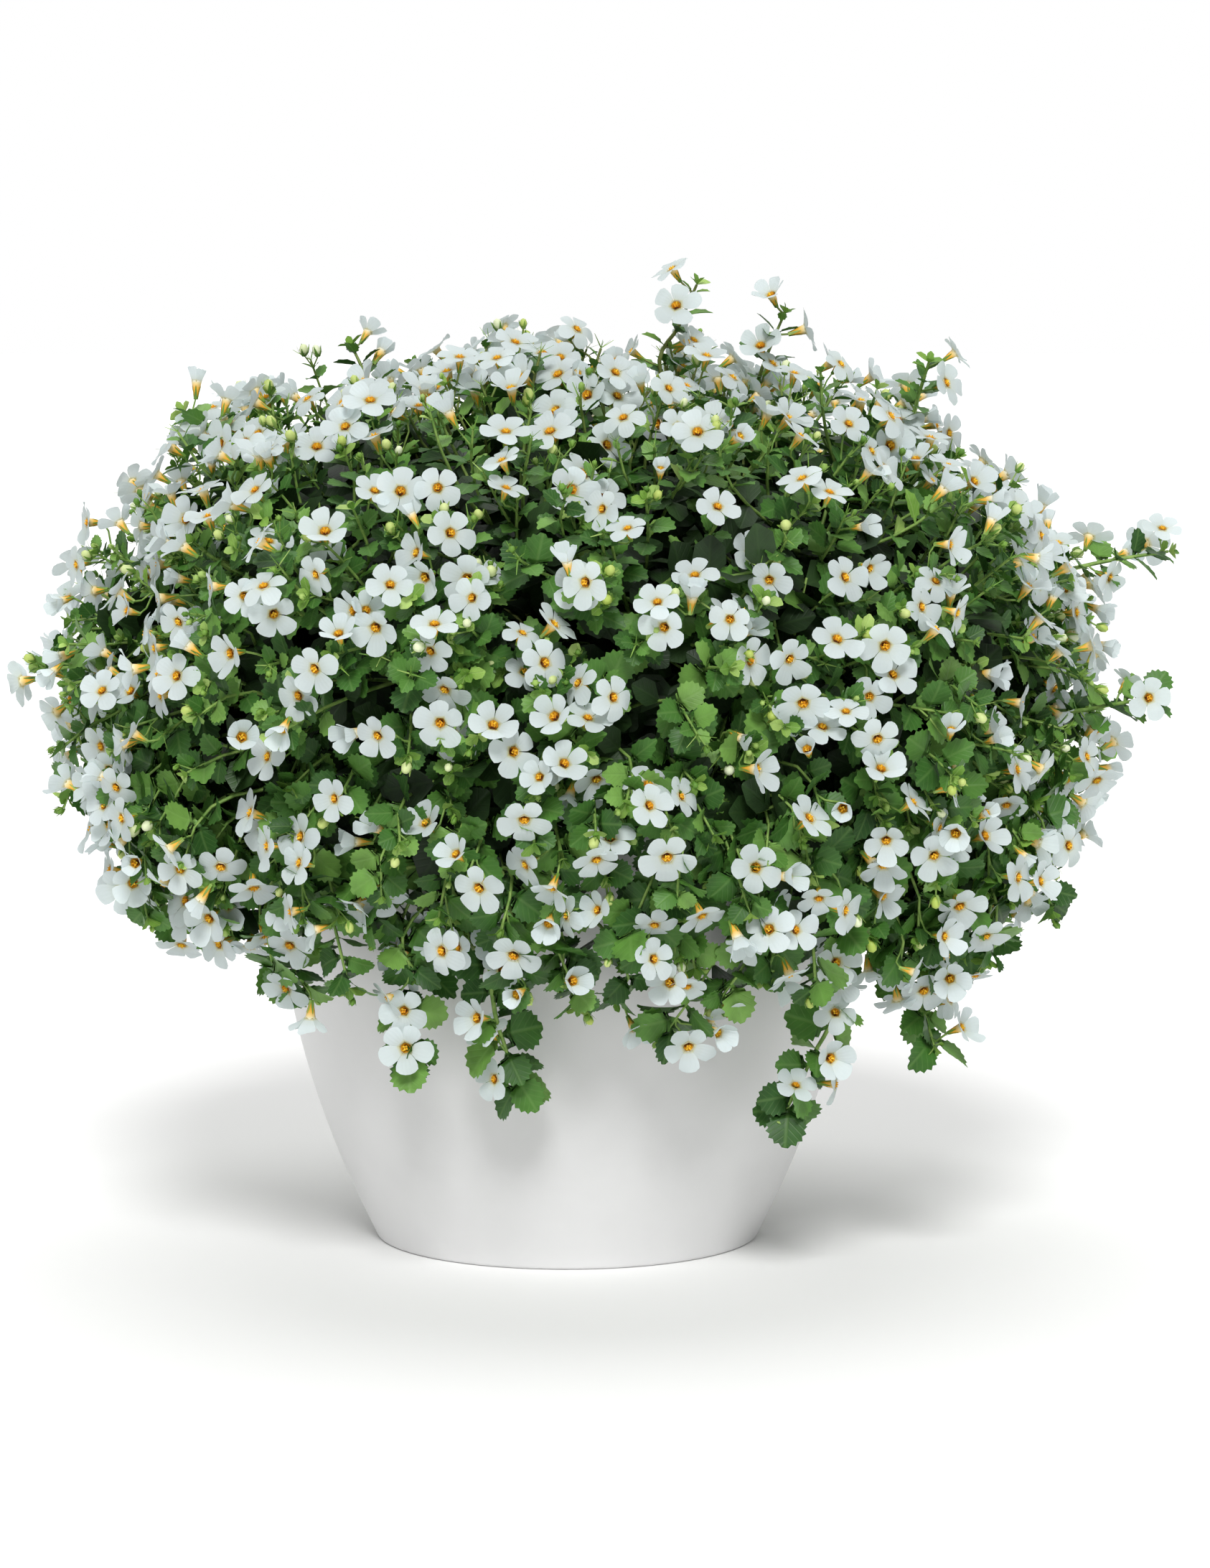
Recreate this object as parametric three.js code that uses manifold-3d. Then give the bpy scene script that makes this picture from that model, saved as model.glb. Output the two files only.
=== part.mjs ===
// A potted bacopa in full flower: a plain white plastic pot, its potting soil, and the leafy
// shoots that stand in the soil, arch over the rim and end in tufts of leaves and white blooms.
// Millimetres, +Z up, origin in the middle of the pot's underside, front of the plant at -Y.
import * as THREE from 'three';
import { ConvexHull } from 'three/addons/math/ConvexHull.js';
import { mergeVertices } from 'three/addons/utils/BufferGeometryUtils.js';
import Module from 'manifold-3d';

const manifold = await Module();
manifold.setup();

// Pot: a ten inch round pot whose wall swells out from a narrow base
const POT_HEIGHT = 210;
const BASE_RADIUS = 81;
const RIM_RADIUS = 127;
const WALL_SWELL = 2.4;
const WALL = 3;
const FLOOR = 4;
const LIP_HEIGHT = 9;
const LIP_PROUD = 1.6;
const EDGE_CHAMFER = 2.5;
const DRAIN_HOLES = 5;
const DRAIN_RADIUS = 5;
const DRAIN_CIRCLE = 48;
const POT_SIDES = 32;
const FIT_GAP = 0.4;

// Soil: fills the pot to a finger below the rim and rises a little in the middle
const SOIL_EDGE = 188;
const SOIL_MIDDLE = 194;
const STEM_DEPTH = 26;
const HOLE_RADIUS = 3.4;

// Crown: the rounded surface that the blooms and leaves reach, wider than it is high, with shallow
// lobes, and a hem that hangs lower at the front than at the left and the back
const CROWN_X = 4;
const CROWN_RADIUS = 220;
const CROWN_MIDDLE = 216;
const CROWN_RISE = 166;
const DOME_POWER = 2.5;
const HEM_RADIUS = 150;
const HEM_FALL = 100;
const HEM_POWER = 1.7;
const HEM_END = 1.42;
const HEM_SWAY = 0.18;
const HEM_LIFT = 0.07;
const HEM_TURN = 1;
const WIDE_LOBE = 0.015;
const TALL_LOBE = 0.027;
const TALL_LOBE_RISE = 45;
const FINE_LOBE = 0.015;
const FINE_LOBE_RISE = 37;
const CROWN_STEPS = 160;

// Growth: shoots, what they carry, and how deep each tuft's core lies under the crown
const SHOOTS = 50;
const CARRIED = 440;
const BLOOM_SHARE = 0.68;
const SPOT_JITTER = 4;
const SPOT_DEPTH = 9;
const GOLDEN_ANGLE = Math.PI * (3 - Math.sqrt(5));
const SHOOT_TURN = 1.8;
const CORE_RECESS = 16;
const CORE_BEND = 0.0035;
const CORE_COVER = 12;
const CORE_NECK = 9;
const CORE_REACH = 58;
const CORE_CORNERS = 6;
const CORE_GAP = 3;
const POT_CLEAR = 12;
const ROOT_RADIUS = 1.5;
const ROOT_LEAN = 1.6;
const STEM_RADIUS = 1.7;

// Stems: how far from the middle they stand in the soil, and how they pass over the rim
const STAND_NEAR = 10;
const STAND_SPREAD = 82;
const STAND_POWER = 0.75;
const OVER_RIM = 25;
const BELOW_RIM = 20;
const RIM_INSIDE = [-14, 15];
const RIM_OUTSIDE = [4, 13];
const RIM_BESIDE = [16, -4];
const NECK_RUN = 24;

// Blooms have five rounded petals round a sunken throat, leaves a toothed oval blade
const PETALS = 5;
const BLOOM_RADIUS = 13.2;
const NOTCH_RADIUS = 7.6;
const PETAL_LIFT = 1.2;
const THROAT_DEPTH = 2;
const BLOOM_LEAN = 0.9;
const BLOOM_LOOK_UP = 0.12;
const LEAF_LENGTH = 30;
const LEAF_WIDTH = 25;
const LEAF_SINK = 4;
const LEAF_ROOT_BACK = 13;
const BLADE_HALF = 0.44;
const ELBOW_ROOM = 0.6;
const LEAF_DROOP = 2.5;
const RIB_HEIGHT = 1.2;
const TOOTH_DEPTH = 0.16;
const TEETH = 4;

// Leaders: tips that stand out of the crown or hang below its hem, from their far ends
const LEADERS = [
  [54, -30, 404], [92, 10, 392], [-158, -40, 352], [-92, 25, 378], [150, -36, 372],
  [252, -20, 293], [246, -36, 233], [-70, 150, 368], [70, 212, 326],
  [-18, -138, 84], [88, -122, 72], [-62, -142, 96], [150, -96, 96], [-128, 92, 92], [70, 134, 88],
];
const LEADER_STEP = 17;
const LEADER_BARE = 20;
const LEADER_NODE = 2.4;
const LEADER_LEAF = 15;
const LEADER_LEAF_SHAPE = 0.8;
const LEADER_BLOOM = 0.8;
const LEADER_BLOOM_OUT = 12;
const LEADER_BLOOM_AHEAD = 7;
const END_BLOOM = 0.85;
const END_BLOOM_AHEAD = 9;

const Z = new THREE.Vector3(0, 0, 1);

// The same run of numbers from 0 to 1 for the same seed
function dice(seed) {
  let state = Math.imul(seed + 1, 2654435761) >>> 0;
  return () => {
    state = (Math.imul(state, 1664525) + 1013904223) >>> 0;
    return state / 4294967296;
  };
}

function polar(radius, azimuth, height) {
  return new THREE.Vector3(radius * Math.cos(azimuth), radius * Math.sin(azimuth), height);
}

// Two directions square to an axis, which make a right-handed frame with it
function across(axis) {
  const helper = Math.abs(axis.z) < 0.9 ? Z : new THREE.Vector3(1, 0, 0);
  const first = new THREE.Vector3().crossVectors(helper, axis).normalize();
  return [first, new THREE.Vector3().crossVectors(axis, first)];
}

// A body under construction: its points and its outward triangles
class Body {
  constructor() {
    this.points = [];
    this.faces = [];
  }

  add(point) {
    this.points.push(point);
    return this.points.length - 1;
  }

  face(a, b, c) {
    this.faces.push([a, b, c]);
  }

  mesh(name, material) {
    const geometry = new THREE.BufferGeometry().setFromPoints(this.points);
    geometry.setIndex(this.faces.flat());
    geometry.computeVertexNormals();
    const mesh = new THREE.Mesh(geometry, material);
    mesh.name = name;
    return mesh;
  }
}

// Closed three.js geometry to a solid and back, for the cuts in pot and soil
function toSolid(geometry) {
  const bare = geometry.clone();
  bare.deleteAttribute('normal');
  bare.deleteAttribute('uv');
  const merged = mergeVertices(bare, 1e-4);
  const index = merged.index.array;
  const kept = [];
  for (let i = 0; i < index.length; i += 3) {
    const [a, b, c] = [index[i], index[i + 1], index[i + 2]];
    if (a !== b && b !== c && c !== a) kept.push(a, b, c);
  }
  const vertProperties = Float32Array.from(merged.attributes.position.array);
  const build = (triVerts) => new manifold.Manifold(
    new manifold.Mesh({ numProp: 3, vertProperties, triVerts: Uint32Array.from(triVerts) }));
  const solid = build(kept);
  return solid.volume() > 0 ? solid : build(kept.reverse());
}

function toMesh(solid, name, material) {
  const { vertProperties, triVerts } = solid.getMesh();
  const geometry = new THREE.BufferGeometry();
  geometry.setAttribute('position', new THREE.BufferAttribute(vertProperties, 3));
  geometry.setIndex(new THREE.BufferAttribute(triVerts, 1));
  geometry.computeVertexNormals();
  const mesh = new THREE.Mesh(geometry, material);
  mesh.name = name;
  return mesh;
}

// A profile of [radius, height] points turned about the Z axis
function turned(profile) {
  const points = profile.map(([radius, height]) => new THREE.Vector2(radius, height));
  return toSolid(new THREE.LatheGeometry(points, POT_SIDES).rotateX(Math.PI / 2));
}

function post(radius, sides, low, high, x, y) {
  const geometry = new THREE.CylinderGeometry(radius, radius, high - low, sides);
  return toSolid(geometry.rotateX(Math.PI / 2).translate(x, y, (low + high) / 2));
}

// Pot: outside radius at a height, swelling fast near the base and slowly near the rim
function potRadius(height) {
  const left = 1 - height / POT_HEIGHT;
  return BASE_RADIUS + (RIM_RADIUS - BASE_RADIUS) * (1 - left ** WALL_SWELL);
}

function makePot(material) {
  const lipLow = POT_HEIGHT - LIP_HEIGHT;
  const lipTop = POT_HEIGHT - 2;
  const profile = [[0, 0], [BASE_RADIUS - EDGE_CHAMFER, 0], [potRadius(EDGE_CHAMFER), EDGE_CHAMFER]];
  for (const height of [24, 56, 100, 150]) profile.push([potRadius(height), height]);
  profile.push(
    [potRadius(lipLow), lipLow],
    [RIM_RADIUS + LIP_PROUD, lipLow + LIP_PROUD],
    [RIM_RADIUS + LIP_PROUD, lipTop],
    [RIM_RADIUS, POT_HEIGHT],
    [RIM_RADIUS - WALL, POT_HEIGHT],
  );
  for (const height of [SOIL_EDGE, 100, 56, 24, FLOOR]) {
    profile.push([potRadius(height) - WALL, height]);
  }
  profile.push([0, FLOOR]);
  let pot = turned(profile);
  for (let i = 0; i < DRAIN_HOLES; i++) {
    const place = polar(DRAIN_CIRCLE, (i * 2 * Math.PI) / DRAIN_HOLES, 0);
    pot = pot.subtract(post(DRAIN_RADIUS, 6, -1, FLOOR + 1, place.x, place.y));
  }
  return toMesh(pot, 'pot', material);
}

// Soil height at a distance from the middle
function soilHeight(radius) {
  const edge = potRadius(SOIL_EDGE) - WALL - FIT_GAP;
  return SOIL_MIDDLE + (SOIL_EDGE - SOIL_MIDDLE) * (radius / edge) ** 2;
}

function makeSoil(stems, material) {
  const inside = (height) => potRadius(height) - WALL - FIT_GAP;
  const profile = [[0, FLOOR + FIT_GAP]];
  for (const height of [FLOOR + FIT_GAP, 24, 100, SOIL_EDGE]) {
    profile.push([inside(height), height]);
  }
  profile.push([0, SOIL_MIDDLE]);
  let soil = turned(profile);
  for (const { x, y, z } of stems) {
    soil = soil.subtract(post(HOLE_RADIUS, 4, z - STEM_DEPTH, z + 9, x, y));
  }
  return toMesh(soil, 'potting_soil', material);
}

// Crown profile from its top to its hem, with the area passed so far at each point
function crownProfile() {
  const profile = [];
  for (let i = 0; i <= CROWN_STEPS; i++) {
    const angle = (i / CROWN_STEPS) * Math.PI / 2;
    profile.push([
      CROWN_RADIUS * Math.sin(angle) ** (2 / DOME_POWER),
      CROWN_MIDDLE + CROWN_RISE * Math.max(0, Math.cos(angle)) ** (2 / DOME_POWER),
    ]);
  }
  for (let i = 1; i <= CROWN_STEPS; i++) {
    const angle = (i / CROWN_STEPS) * HEM_END;
    profile.push([
      HEM_RADIUS + (CROWN_RADIUS - HEM_RADIUS) * Math.cos(angle) ** (2 / HEM_POWER),
      CROWN_MIDDLE - HEM_FALL * Math.sin(angle) ** (2 / HEM_POWER),
    ]);
  }
  const area = [0];
  for (let i = 1; i < profile.length; i++) {
    const [r0, z0] = profile[i - 1];
    const [r1, z1] = profile[i];
    area.push(area[i - 1] + (r0 + r1) * Math.hypot(r1 - r0, z1 - z0));
  }
  return { profile, area };
}

const CROWN = crownProfile();

// The crown's point and outward direction at a share of its area and an azimuth
function crownAt(share, azimuth) {
  const { profile, area } = CROWN;
  const wanted = share * area[area.length - 1];
  const i = Math.max(1, area.findIndex((value) => value >= wanted));
  const part = (wanted - area[i - 1]) / (area[i] - area[i - 1]);
  const [r0, z0] = profile[i - 1];
  const [r1, z1] = profile[i];
  const lump = 1 + WIDE_LOBE * Math.sin(2 * azimuth + 0.2)
    + TALL_LOBE * Math.sin(3 * azimuth + z0 / TALL_LOBE_RISE + 1.1)
    + FINE_LOBE * Math.sin(5 * azimuth - z0 / FINE_LOBE_RISE + 0.2);
  const height = z0 + (z1 - z0) * part;
  const below = Math.min(0, height - CROWN_MIDDLE);
  const sway = HEM_SWAY * Math.cos(azimuth + HEM_TURN) - HEM_LIFT;
  const point = polar((r0 + (r1 - r0) * part) * lump, azimuth, height + below * sway);
  point.x += CROWN_X;
  const out = polar(z0 - z1, azimuth, r1 - r0).normalize();
  return { point, out, share };
}

// Triangles between two loops that turn the same way round a line
function bridge(body, lower, upper, centre, axis) {
  const [e1, e2] = across(axis);
  const angle = (index) => {
    const arm = body.points[index].clone().sub(centre);
    return Math.atan2(arm.dot(e2), arm.dot(e1));
  };
  const wrap = (value) => ((value % (2 * Math.PI)) + 2 * Math.PI) % (2 * Math.PI);
  const start = angle(lower[0]);
  const gap = (index) => wrap(angle(index) - start);
  let first = 0;
  upper.forEach((index, i) => {
    if (gap(index) < gap(upper[first])) first = i;
  });
  const top = upper.map((_, i) => upper[(first + i) % upper.length]);
  let i = 0;
  let j = 0;
  while (i < lower.length || j < top.length) {
    const low = lower[i % lower.length];
    const high = top[j % top.length];
    const nextLow = i + 1 < lower.length ? gap(lower[i + 1]) : 2 * Math.PI;
    const nextHigh = j + 1 < top.length ? gap(top[j + 1]) : 2 * Math.PI + gap(top[0]);
    if (j >= top.length || (i < lower.length && nextLow <= nextHigh)) {
      body.face(low, lower[(i + 1) % lower.length], high);
      i += 1;
    } else {
      body.face(low, top[(j + 1) % top.length], high);
      j += 1;
    }
  }
}

// A bloom raised from a ring: a slim funnel, five petals and a sunken throat
function raiseBloom(body, ring, centre, axis, size, turn) {
  const [e1, e2] = across(axis);
  const outline = [];
  for (let i = 0; i < 2 * PETALS; i++) {
    const petal = i % 2 === 0;
    const angle = turn + (i * Math.PI) / PETALS;
    const reach = size * (petal ? BLOOM_RADIUS : NOTCH_RADIUS);
    const point = centre.clone().addScaledVector(axis, petal ? PETAL_LIFT : 0);
    point.addScaledVector(e1, reach * Math.cos(angle)).addScaledVector(e2, reach * Math.sin(angle));
    outline.push(body.add(point));
  }
  const root = new THREE.Vector3();
  ring.forEach((index) => root.addScaledVector(body.points[index], 1 / ring.length));
  bridge(body, ring, outline, root, centre.clone().sub(root).normalize());
  const throat = body.add(centre.clone().addScaledVector(axis, -THROAT_DEPTH));
  outline.forEach((index, i) => body.face(throat, index, outline[(i + 1) % outline.length]));
}

// A toothed leaf raised from a ring of three points, the first of them under its rib
function raiseLeaf(body, [under, right, left], along, up, length, width, teeth = TEETH) {
  const side = new THREE.Vector3().crossVectors(up, along);
  const base = body.points[under].clone().add(body.points[right]).add(body.points[left]);
  base.divideScalar(3);
  const place = (x, y, z) => body.add(
    base.clone().addScaledVector(side, x).addScaledVector(along, y).addScaledVector(up, z));
  const edge = [];
  const marks = 2 * teeth + 1;
  for (let i = 0; i < marks; i++) {
    const turn = (0.78 * Math.PI * (i - (marks - 1) / 2)) / ((marks - 1) / 2);
    const bite = i % 2 === 0 ? 1 : 1 - TOOTH_DEPTH;
    const y = length * (1 - BLADE_HALF + BLADE_HALF * bite * Math.cos(turn));
    edge.push(place(-0.5 * width * bite * Math.sin(turn), y, -LEAF_DROOP * (y / length) ** 2));
  }
  const rib = place(0, 0.5 * length, RIB_HEIGHT - LEAF_DROOP / 4);
  const loop = [right, ...edge, left];
  for (let i = 0; i + 1 < loop.length; i++) {
    body.face(under, loop[i], loop[i + 1]);
    body.face(rib, loop[i + 1], loop[i]);
  }
  body.face(rib, right, left);
}

// The next ring of a stem, turned with the path and joined by side faces
function nextRing(body, ring, from, to, [facing, ahead]) {
  const rotation = new THREE.Quaternion().setFromUnitVectors(facing, ahead);
  return ring.map((index) => body.add(
    body.points[index].clone().sub(from).applyQuaternion(rotation).add(to)));
}

function joinRings(body, ring, next, open = []) {
  ring.forEach((low, i) => {
    const k = (i + 1) % ring.length;
    body.face(low, ring[k], next[k]);
    if (!open.includes(i)) body.face(low, next[k], next[i]);
  });
}

// A plain stem raised from a ring along a path, closed at its far end
function raiseStem(body, ring, path, heading) {
  let [current, facing] = [ring, heading];
  for (let i = 1; i < path.length; i++) {
    const ahead = path[Math.min(path.length - 1, i + 1)].clone().sub(path[i - 1]).normalize();
    const next = nextRing(body, current, path[i - 1], path[i], [facing, ahead]);
    joinRings(body, current, next);
    [current, facing] = [next, ahead];
  }
  body.face(...current);
}

// A leading tip raised from a ring: leaf pairs with a bloom at each joint, and one at its end
function raiseLeader(body, ring, path, seed) {
  const toss = dice(seed);
  let current = ring;
  const length = path.getLength();
  const count = Math.max(1, Math.round((length - LEADER_BARE) / LEADER_STEP));
  const stops = [];
  for (let i = 1; i <= count; i++) {
    const share = (LEADER_BARE + (i * (length - LEADER_BARE)) / (count + 0.4)) / length;
    stops.push([share - LEADER_NODE / length, 0], [share, i < count ? 3 : 2]);
  }
  let [from, heading] = [path.getPointAt(0), path.getTangentAt(0)];
  for (const [share, sprouts] of stops) {
    const to = path.getPointAt(share);
    const next = path.getTangentAt(share);
    const grown = nextRing(body, current, from, to, [heading, next]);
    joinRings(body, current, grown, [0, 1, 2].slice(0, sprouts));
    if (sprouts) {
      current.slice(0, sprouts).forEach((low, i) => {
        const k = (i + 1) % 3;
        const root = [low, grown[k], grown[i]];
        const middle = body.points[low].clone().add(body.points[grown[k]]).multiplyScalar(0.5);
        const away = middle.sub(from).projectOnPlane(next).normalize();
        if (i < 2) {
          const along = away.clone().multiplyScalar(0.85).addScaledVector(next, 0.5).normalize();
          const up = next.clone().projectOnPlane(along).normalize();
          raiseLeaf(body, root, along, up, LEADER_LEAF, LEADER_LEAF_SHAPE * LEADER_LEAF, TEETH - 1);
        } else {
          const centre = to.clone().addScaledVector(away, LEADER_BLOOM_OUT);
          centre.addScaledVector(next, LEADER_BLOOM_AHEAD);
          const axis = away.clone().addScaledVector(next, 0.5 + 0.3 * toss()).normalize();
          raiseBloom(body, root, centre, axis, LEADER_BLOOM, toss());
        }
      });
    }
    [current, from, heading] = [grown, to, next];
  }
  const last = path.getPointAt(1).addScaledVector(heading, END_BLOOM_AHEAD);
  raiseBloom(body, current, last, heading, END_BLOOM, toss());
}

// What the crown carries: blooms and leaves spread evenly over it, each with a shoot of its own
function planCrown() {
  const shoots = [];
  for (let i = 0; i < SHOOTS; i++) {
    const shoot = crownAt((i + 0.5) / SHOOTS, i * GOLDEN_ANGLE + SHOOT_TURN);
    shoots.push({ ...shoot, carried: [] });
  }
  const spots = [];
  for (let i = 0; i < CARRIED; i++) {
    const toss = dice(i);
    const spot = crownAt((i + 0.5) / CARRIED, i * GOLDEN_ANGLE);
    const [e1, e2] = across(spot.out);
    spot.point.addScaledVector(e1, SPOT_JITTER * (toss() - 0.5));
    spot.point.addScaledVector(e2, SPOT_JITTER * (toss() - 0.5));
    spot.point.addScaledVector(spot.out, SPOT_DEPTH * (toss() - 0.6));
    spot.kind = toss() < BLOOM_SHARE ? 'bloom' : 'leaf';
    spot.seed = i;
    spots.push(spot);
  }
  for (const tip of LEADERS.map((place) => new THREE.Vector3(...place))) {
    const free = spots.filter((spot) => spot.kind !== 'leader');
    const nearest = free.reduce((best, spot) =>
      (spot.point.distanceTo(tip) < best.point.distanceTo(tip) ? spot : best));
    Object.assign(nearest, { kind: 'leader', tip });
  }
  for (const spot of spots) {
    const gaps = spots.map((other) => (other === spot ? 99 : other.point.distanceTo(spot.point)));
    spot.room = Math.min(...gaps) / 2 - ELBOW_ROOM;
    const owner = shoots.reduce((best, shoot) =>
      (shoot.point.distanceTo(spot.point) < best.point.distanceTo(spot.point) ? shoot : best));
    owner.carried.push(spot);
  }
  return shoots;
}

// A shoot's way from under its core down to the soil, over the rim where it hangs outside
function stemPath(shoot, end) {
  const centreward = Math.hypot(end.x, end.y);
  const azimuth = Math.atan2(end.y, end.x);
  const rootRadius = STAND_NEAR + STAND_SPREAD * shoot.share ** STAND_POWER;
  const top = polar(rootRadius, azimuth, soilHeight(rootRadius));
  const path = [end];
  const byRim = ([aside, above]) => path.push(polar(RIM_RADIUS + aside, azimuth, POT_HEIGHT + above));
  if (end.z < POT_HEIGHT + OVER_RIM) {
    if (end.z < POT_HEIGHT - BELOW_RIM) byRim(RIM_BESIDE);
    byRim(RIM_OUTSIDE);
    byRim(RIM_INSIDE);
  } else {
    path.push(end.clone().addScaledVector(shoot.out, -NECK_RUN));
    path.push(polar((rootRadius + centreward) / 2, azimuth, (end.z + SOIL_EDGE) / 2 + 4));
  }
  path.push(top.clone().addScaledVector(Z, 4), top.clone().addScaledVector(Z, 0.6 - STEM_DEPTH));
  return { path, top };
}

// Whether a place on a shoot's core is clear of the pot and in its own share of the crown
function cellTest(shoot, neighbours, onCore) {
  const others = neighbours.filter((other) => other !== shoot);
  return (u, v) => {
    const place = onCore(u, v);
    if (place.z < POT_HEIGHT + POT_CLEAR && Math.hypot(place.x, place.y) < RIM_RADIUS + POT_CLEAR) {
      return false;
    }
    return others.every((other) => {
      const apart = other.point.clone().sub(shoot.point);
      const arm = place.clone().sub(shoot.point);
      return arm.dot(apart) / apart.length() < apart.length() / 2 - CORE_GAP;
    });
  };
}

function pulledIn([u, v], clear) {
  let scale = 1;
  while (!clear(scale * u, scale * v)) scale -= 0.02;
  return [scale * u, scale * v];
}

// Corners of a core, out to the edge of its share where no root is near
function coreCorners(clear, roots) {
  let best = { sum: 0 };
  for (let turn = 0; turn < CORE_CORNERS; turn++) {
    const corners = [];
    for (let i = 0; i < CORE_CORNERS; i++) {
      const angle = (2 * Math.PI * (i + turn / CORE_CORNERS)) / CORE_CORNERS;
      corners.push(pulledIn([CORE_REACH * Math.cos(angle), CORE_REACH * Math.sin(angle)], clear));
    }
    const sum = corners.reduce((total, corner) => total + Math.hypot(...corner), 0);
    if (sum > best.sum) best = { sum, corners };
  }
  return best.corners.filter(([u, v]) =>
    roots.every((root) => Math.hypot(u - root[0], v - root[1]) > 5 * ROOT_RADIUS));
}

// One shoot as one body: its stem, the core of its tuft, and the blooms and leaves on it
function makeShoot(shoot, neighbours, name, material) {
  const { point, out, carried } = shoot;
  const [e1, e2] = across(out);
  const body = new Body();
  const rings = [];
  const bend = Math.max(CORE_BEND, ...carried.map((spot) => {
    const arm = spot.point.clone().sub(point);
    const drop = -arm.dot(out);
    return (CORE_COVER - CORE_RECESS + drop) / (arm.lengthSq() - drop * drop + 100);
  }));
  const onCore = (u, v) => point.clone().addScaledVector(e1, u).addScaledVector(e2, v)
    .addScaledVector(out, -CORE_RECESS - bend * (u * u + v * v));
  const clear = cellTest(shoot, neighbours, onCore);
  for (const spot of carried) {
    const toss = dice(spot.seed + 5000);
    const arm = spot.point.clone().sub(point);
    let [u, v] = [arm.dot(e1), arm.dot(e2)];
    const lean = Math.atan2(v, u) + ROOT_LEAN * (toss() - 0.5);
    if (spot.kind === 'leaf') {
      u -= LEAF_ROOT_BACK * Math.cos(lean);
      v -= LEAF_ROOT_BACK * Math.sin(lean);
    }
    [u, v] = pulledIn([u, v], clear);
    const ring = [0, 1, 2].map((i) => {
      const angle = lean + (i * 2 * Math.PI) / 3;
      return body.add(onCore(u + ROOT_RADIUS * Math.cos(angle), v + ROOT_RADIUS * Math.sin(angle)));
    });
    const normal = out.clone().addScaledVector(e1, 2 * bend * u);
    normal.addScaledVector(e2, 2 * bend * v).normalize();
    rings.push({ ring, spot, normal, root: onCore(u, v), flat: [u, v], toss });
  }
  const flats = rings.map(({ flat }) => flat);
  const corners = coreCorners(clear, flats);
  corners.forEach(([u, v]) => body.add(onCore(u, v)));
  const reach = Math.max(...[...flats, ...corners].map(([u, v]) => Math.hypot(u, v)));
  const end = point.clone().addScaledVector(
    out, -CORE_RECESS - bend * reach * reach - CORE_NECK);
  const neck = [0, 1, 2].map((i) => {
    const angle = (-i * 2 * Math.PI) / 3;
    return body.add(end.clone().addScaledVector(e1, STEM_RADIUS * Math.cos(angle))
      .addScaledVector(e2, STEM_RADIUS * Math.sin(angle)));
  });
  growCore(body, [...rings.map(({ ring }) => ring), neck]);
  const { path, top } = stemPath(shoot, end);
  raiseStem(body, neck, path, out.clone().negate());
  for (const { ring, spot, normal, root, toss } of rings) {
    if (spot.kind === 'leaf') {
      const along = spot.point.clone().addScaledVector(spot.out, -LEAF_SINK).sub(root);
      const fit = Math.min(spot.room / BLADE_HALF, along.length() / (1 - BLADE_HALF));
      const size = Math.min(0.9 + 0.2 * toss(), fit / LEAF_LENGTH);
      const up = normal.clone().projectOnPlane(along.normalize()).normalize();
      raiseLeaf(body, ring, along, up, LEAF_LENGTH * size, LEAF_WIDTH * size);
    } else if (spot.kind === 'bloom') {
      const [s1, s2] = across(spot.out);
      const axis = spot.out.clone().addScaledVector(s1, BLOOM_LEAN * (toss() - 0.5));
      axis.addScaledVector(s2, BLOOM_LEAN * (toss() - 0.5));
      axis.addScaledVector(Z, BLOOM_LOOK_UP).normalize();
      const size = Math.min(0.94 + 0.12 * toss(), spot.room / BLOOM_RADIUS);
      raiseBloom(body, ring, spot.point, axis, size, toss());
    } else {
      const start = root.clone().addScaledVector(normal, 9);
      const way = new THREE.QuadraticBezierCurve3(root, start, spot.tip);
      raiseLeader(body, ring, way, spot.seed);
    }
  }
  return { mesh: body.mesh(name, material), top };
}

// The core: the smallest convex body round all roots, left open where something grows out
function growCore(body, rings) {
  const hull = new ConvexHull().setFromPoints(body.points);
  const indexOf = new Map(body.points.map((point, i) => [point, i]));
  const open = new Set(rings.map((ring) => [...ring].sort((a, b) => a - b).join()));
  let left = open.size;
  for (const { edge } of hull.faces) {
    const loop = [edge.prev, edge, edge.next].map((side) => indexOf.get(side.head().point));
    if (open.has([...loop].sort((a, b) => a - b).join())) {
      left -= 1;
    } else {
      body.face(...loop);
    }
  }
  if (left) throw new Error(`${left} roots lie inside the core`);
}

const leafy = new THREE.MeshStandardMaterial({ color: 0x3f7a2e, roughness: 0.6, metalness: 0 });
const plastic = new THREE.MeshStandardMaterial({ color: 0xe8e8e6, roughness: 0.35, metalness: 0 });
const earth = new THREE.MeshStandardMaterial({ color: 0x2e2119, roughness: 0.95, metalness: 0 });

const plant = new THREE.Group();
const shoots = planCrown();
const grown = shoots.map((shoot, i) =>
  makeShoot(shoot, shoots, `shoot_${String(i + 1).padStart(2, '0')}`, leafy));
plant.add(makePot(plastic));
plant.add(makeSoil(grown.map(({ top }) => top), earth));
grown.forEach(({ mesh }) => plant.add(mesh));

export default plant;
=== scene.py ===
"""A potted bacopa in full flower: a plain white moulded pot, its potting mix, and fifty leafy
shoots that root in the mix, rise from it or arch over the rim, and carry toothed leaves, buds and
white blooms.
Metres, +Z up, origin in the middle of the pot's underside, front of the plant at -Y."""

import math
from types import SimpleNamespace

import bmesh
import bpy
from mathutils import Matrix, Vector, noise
from mathutils.geometry import interpolate_bezier


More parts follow.
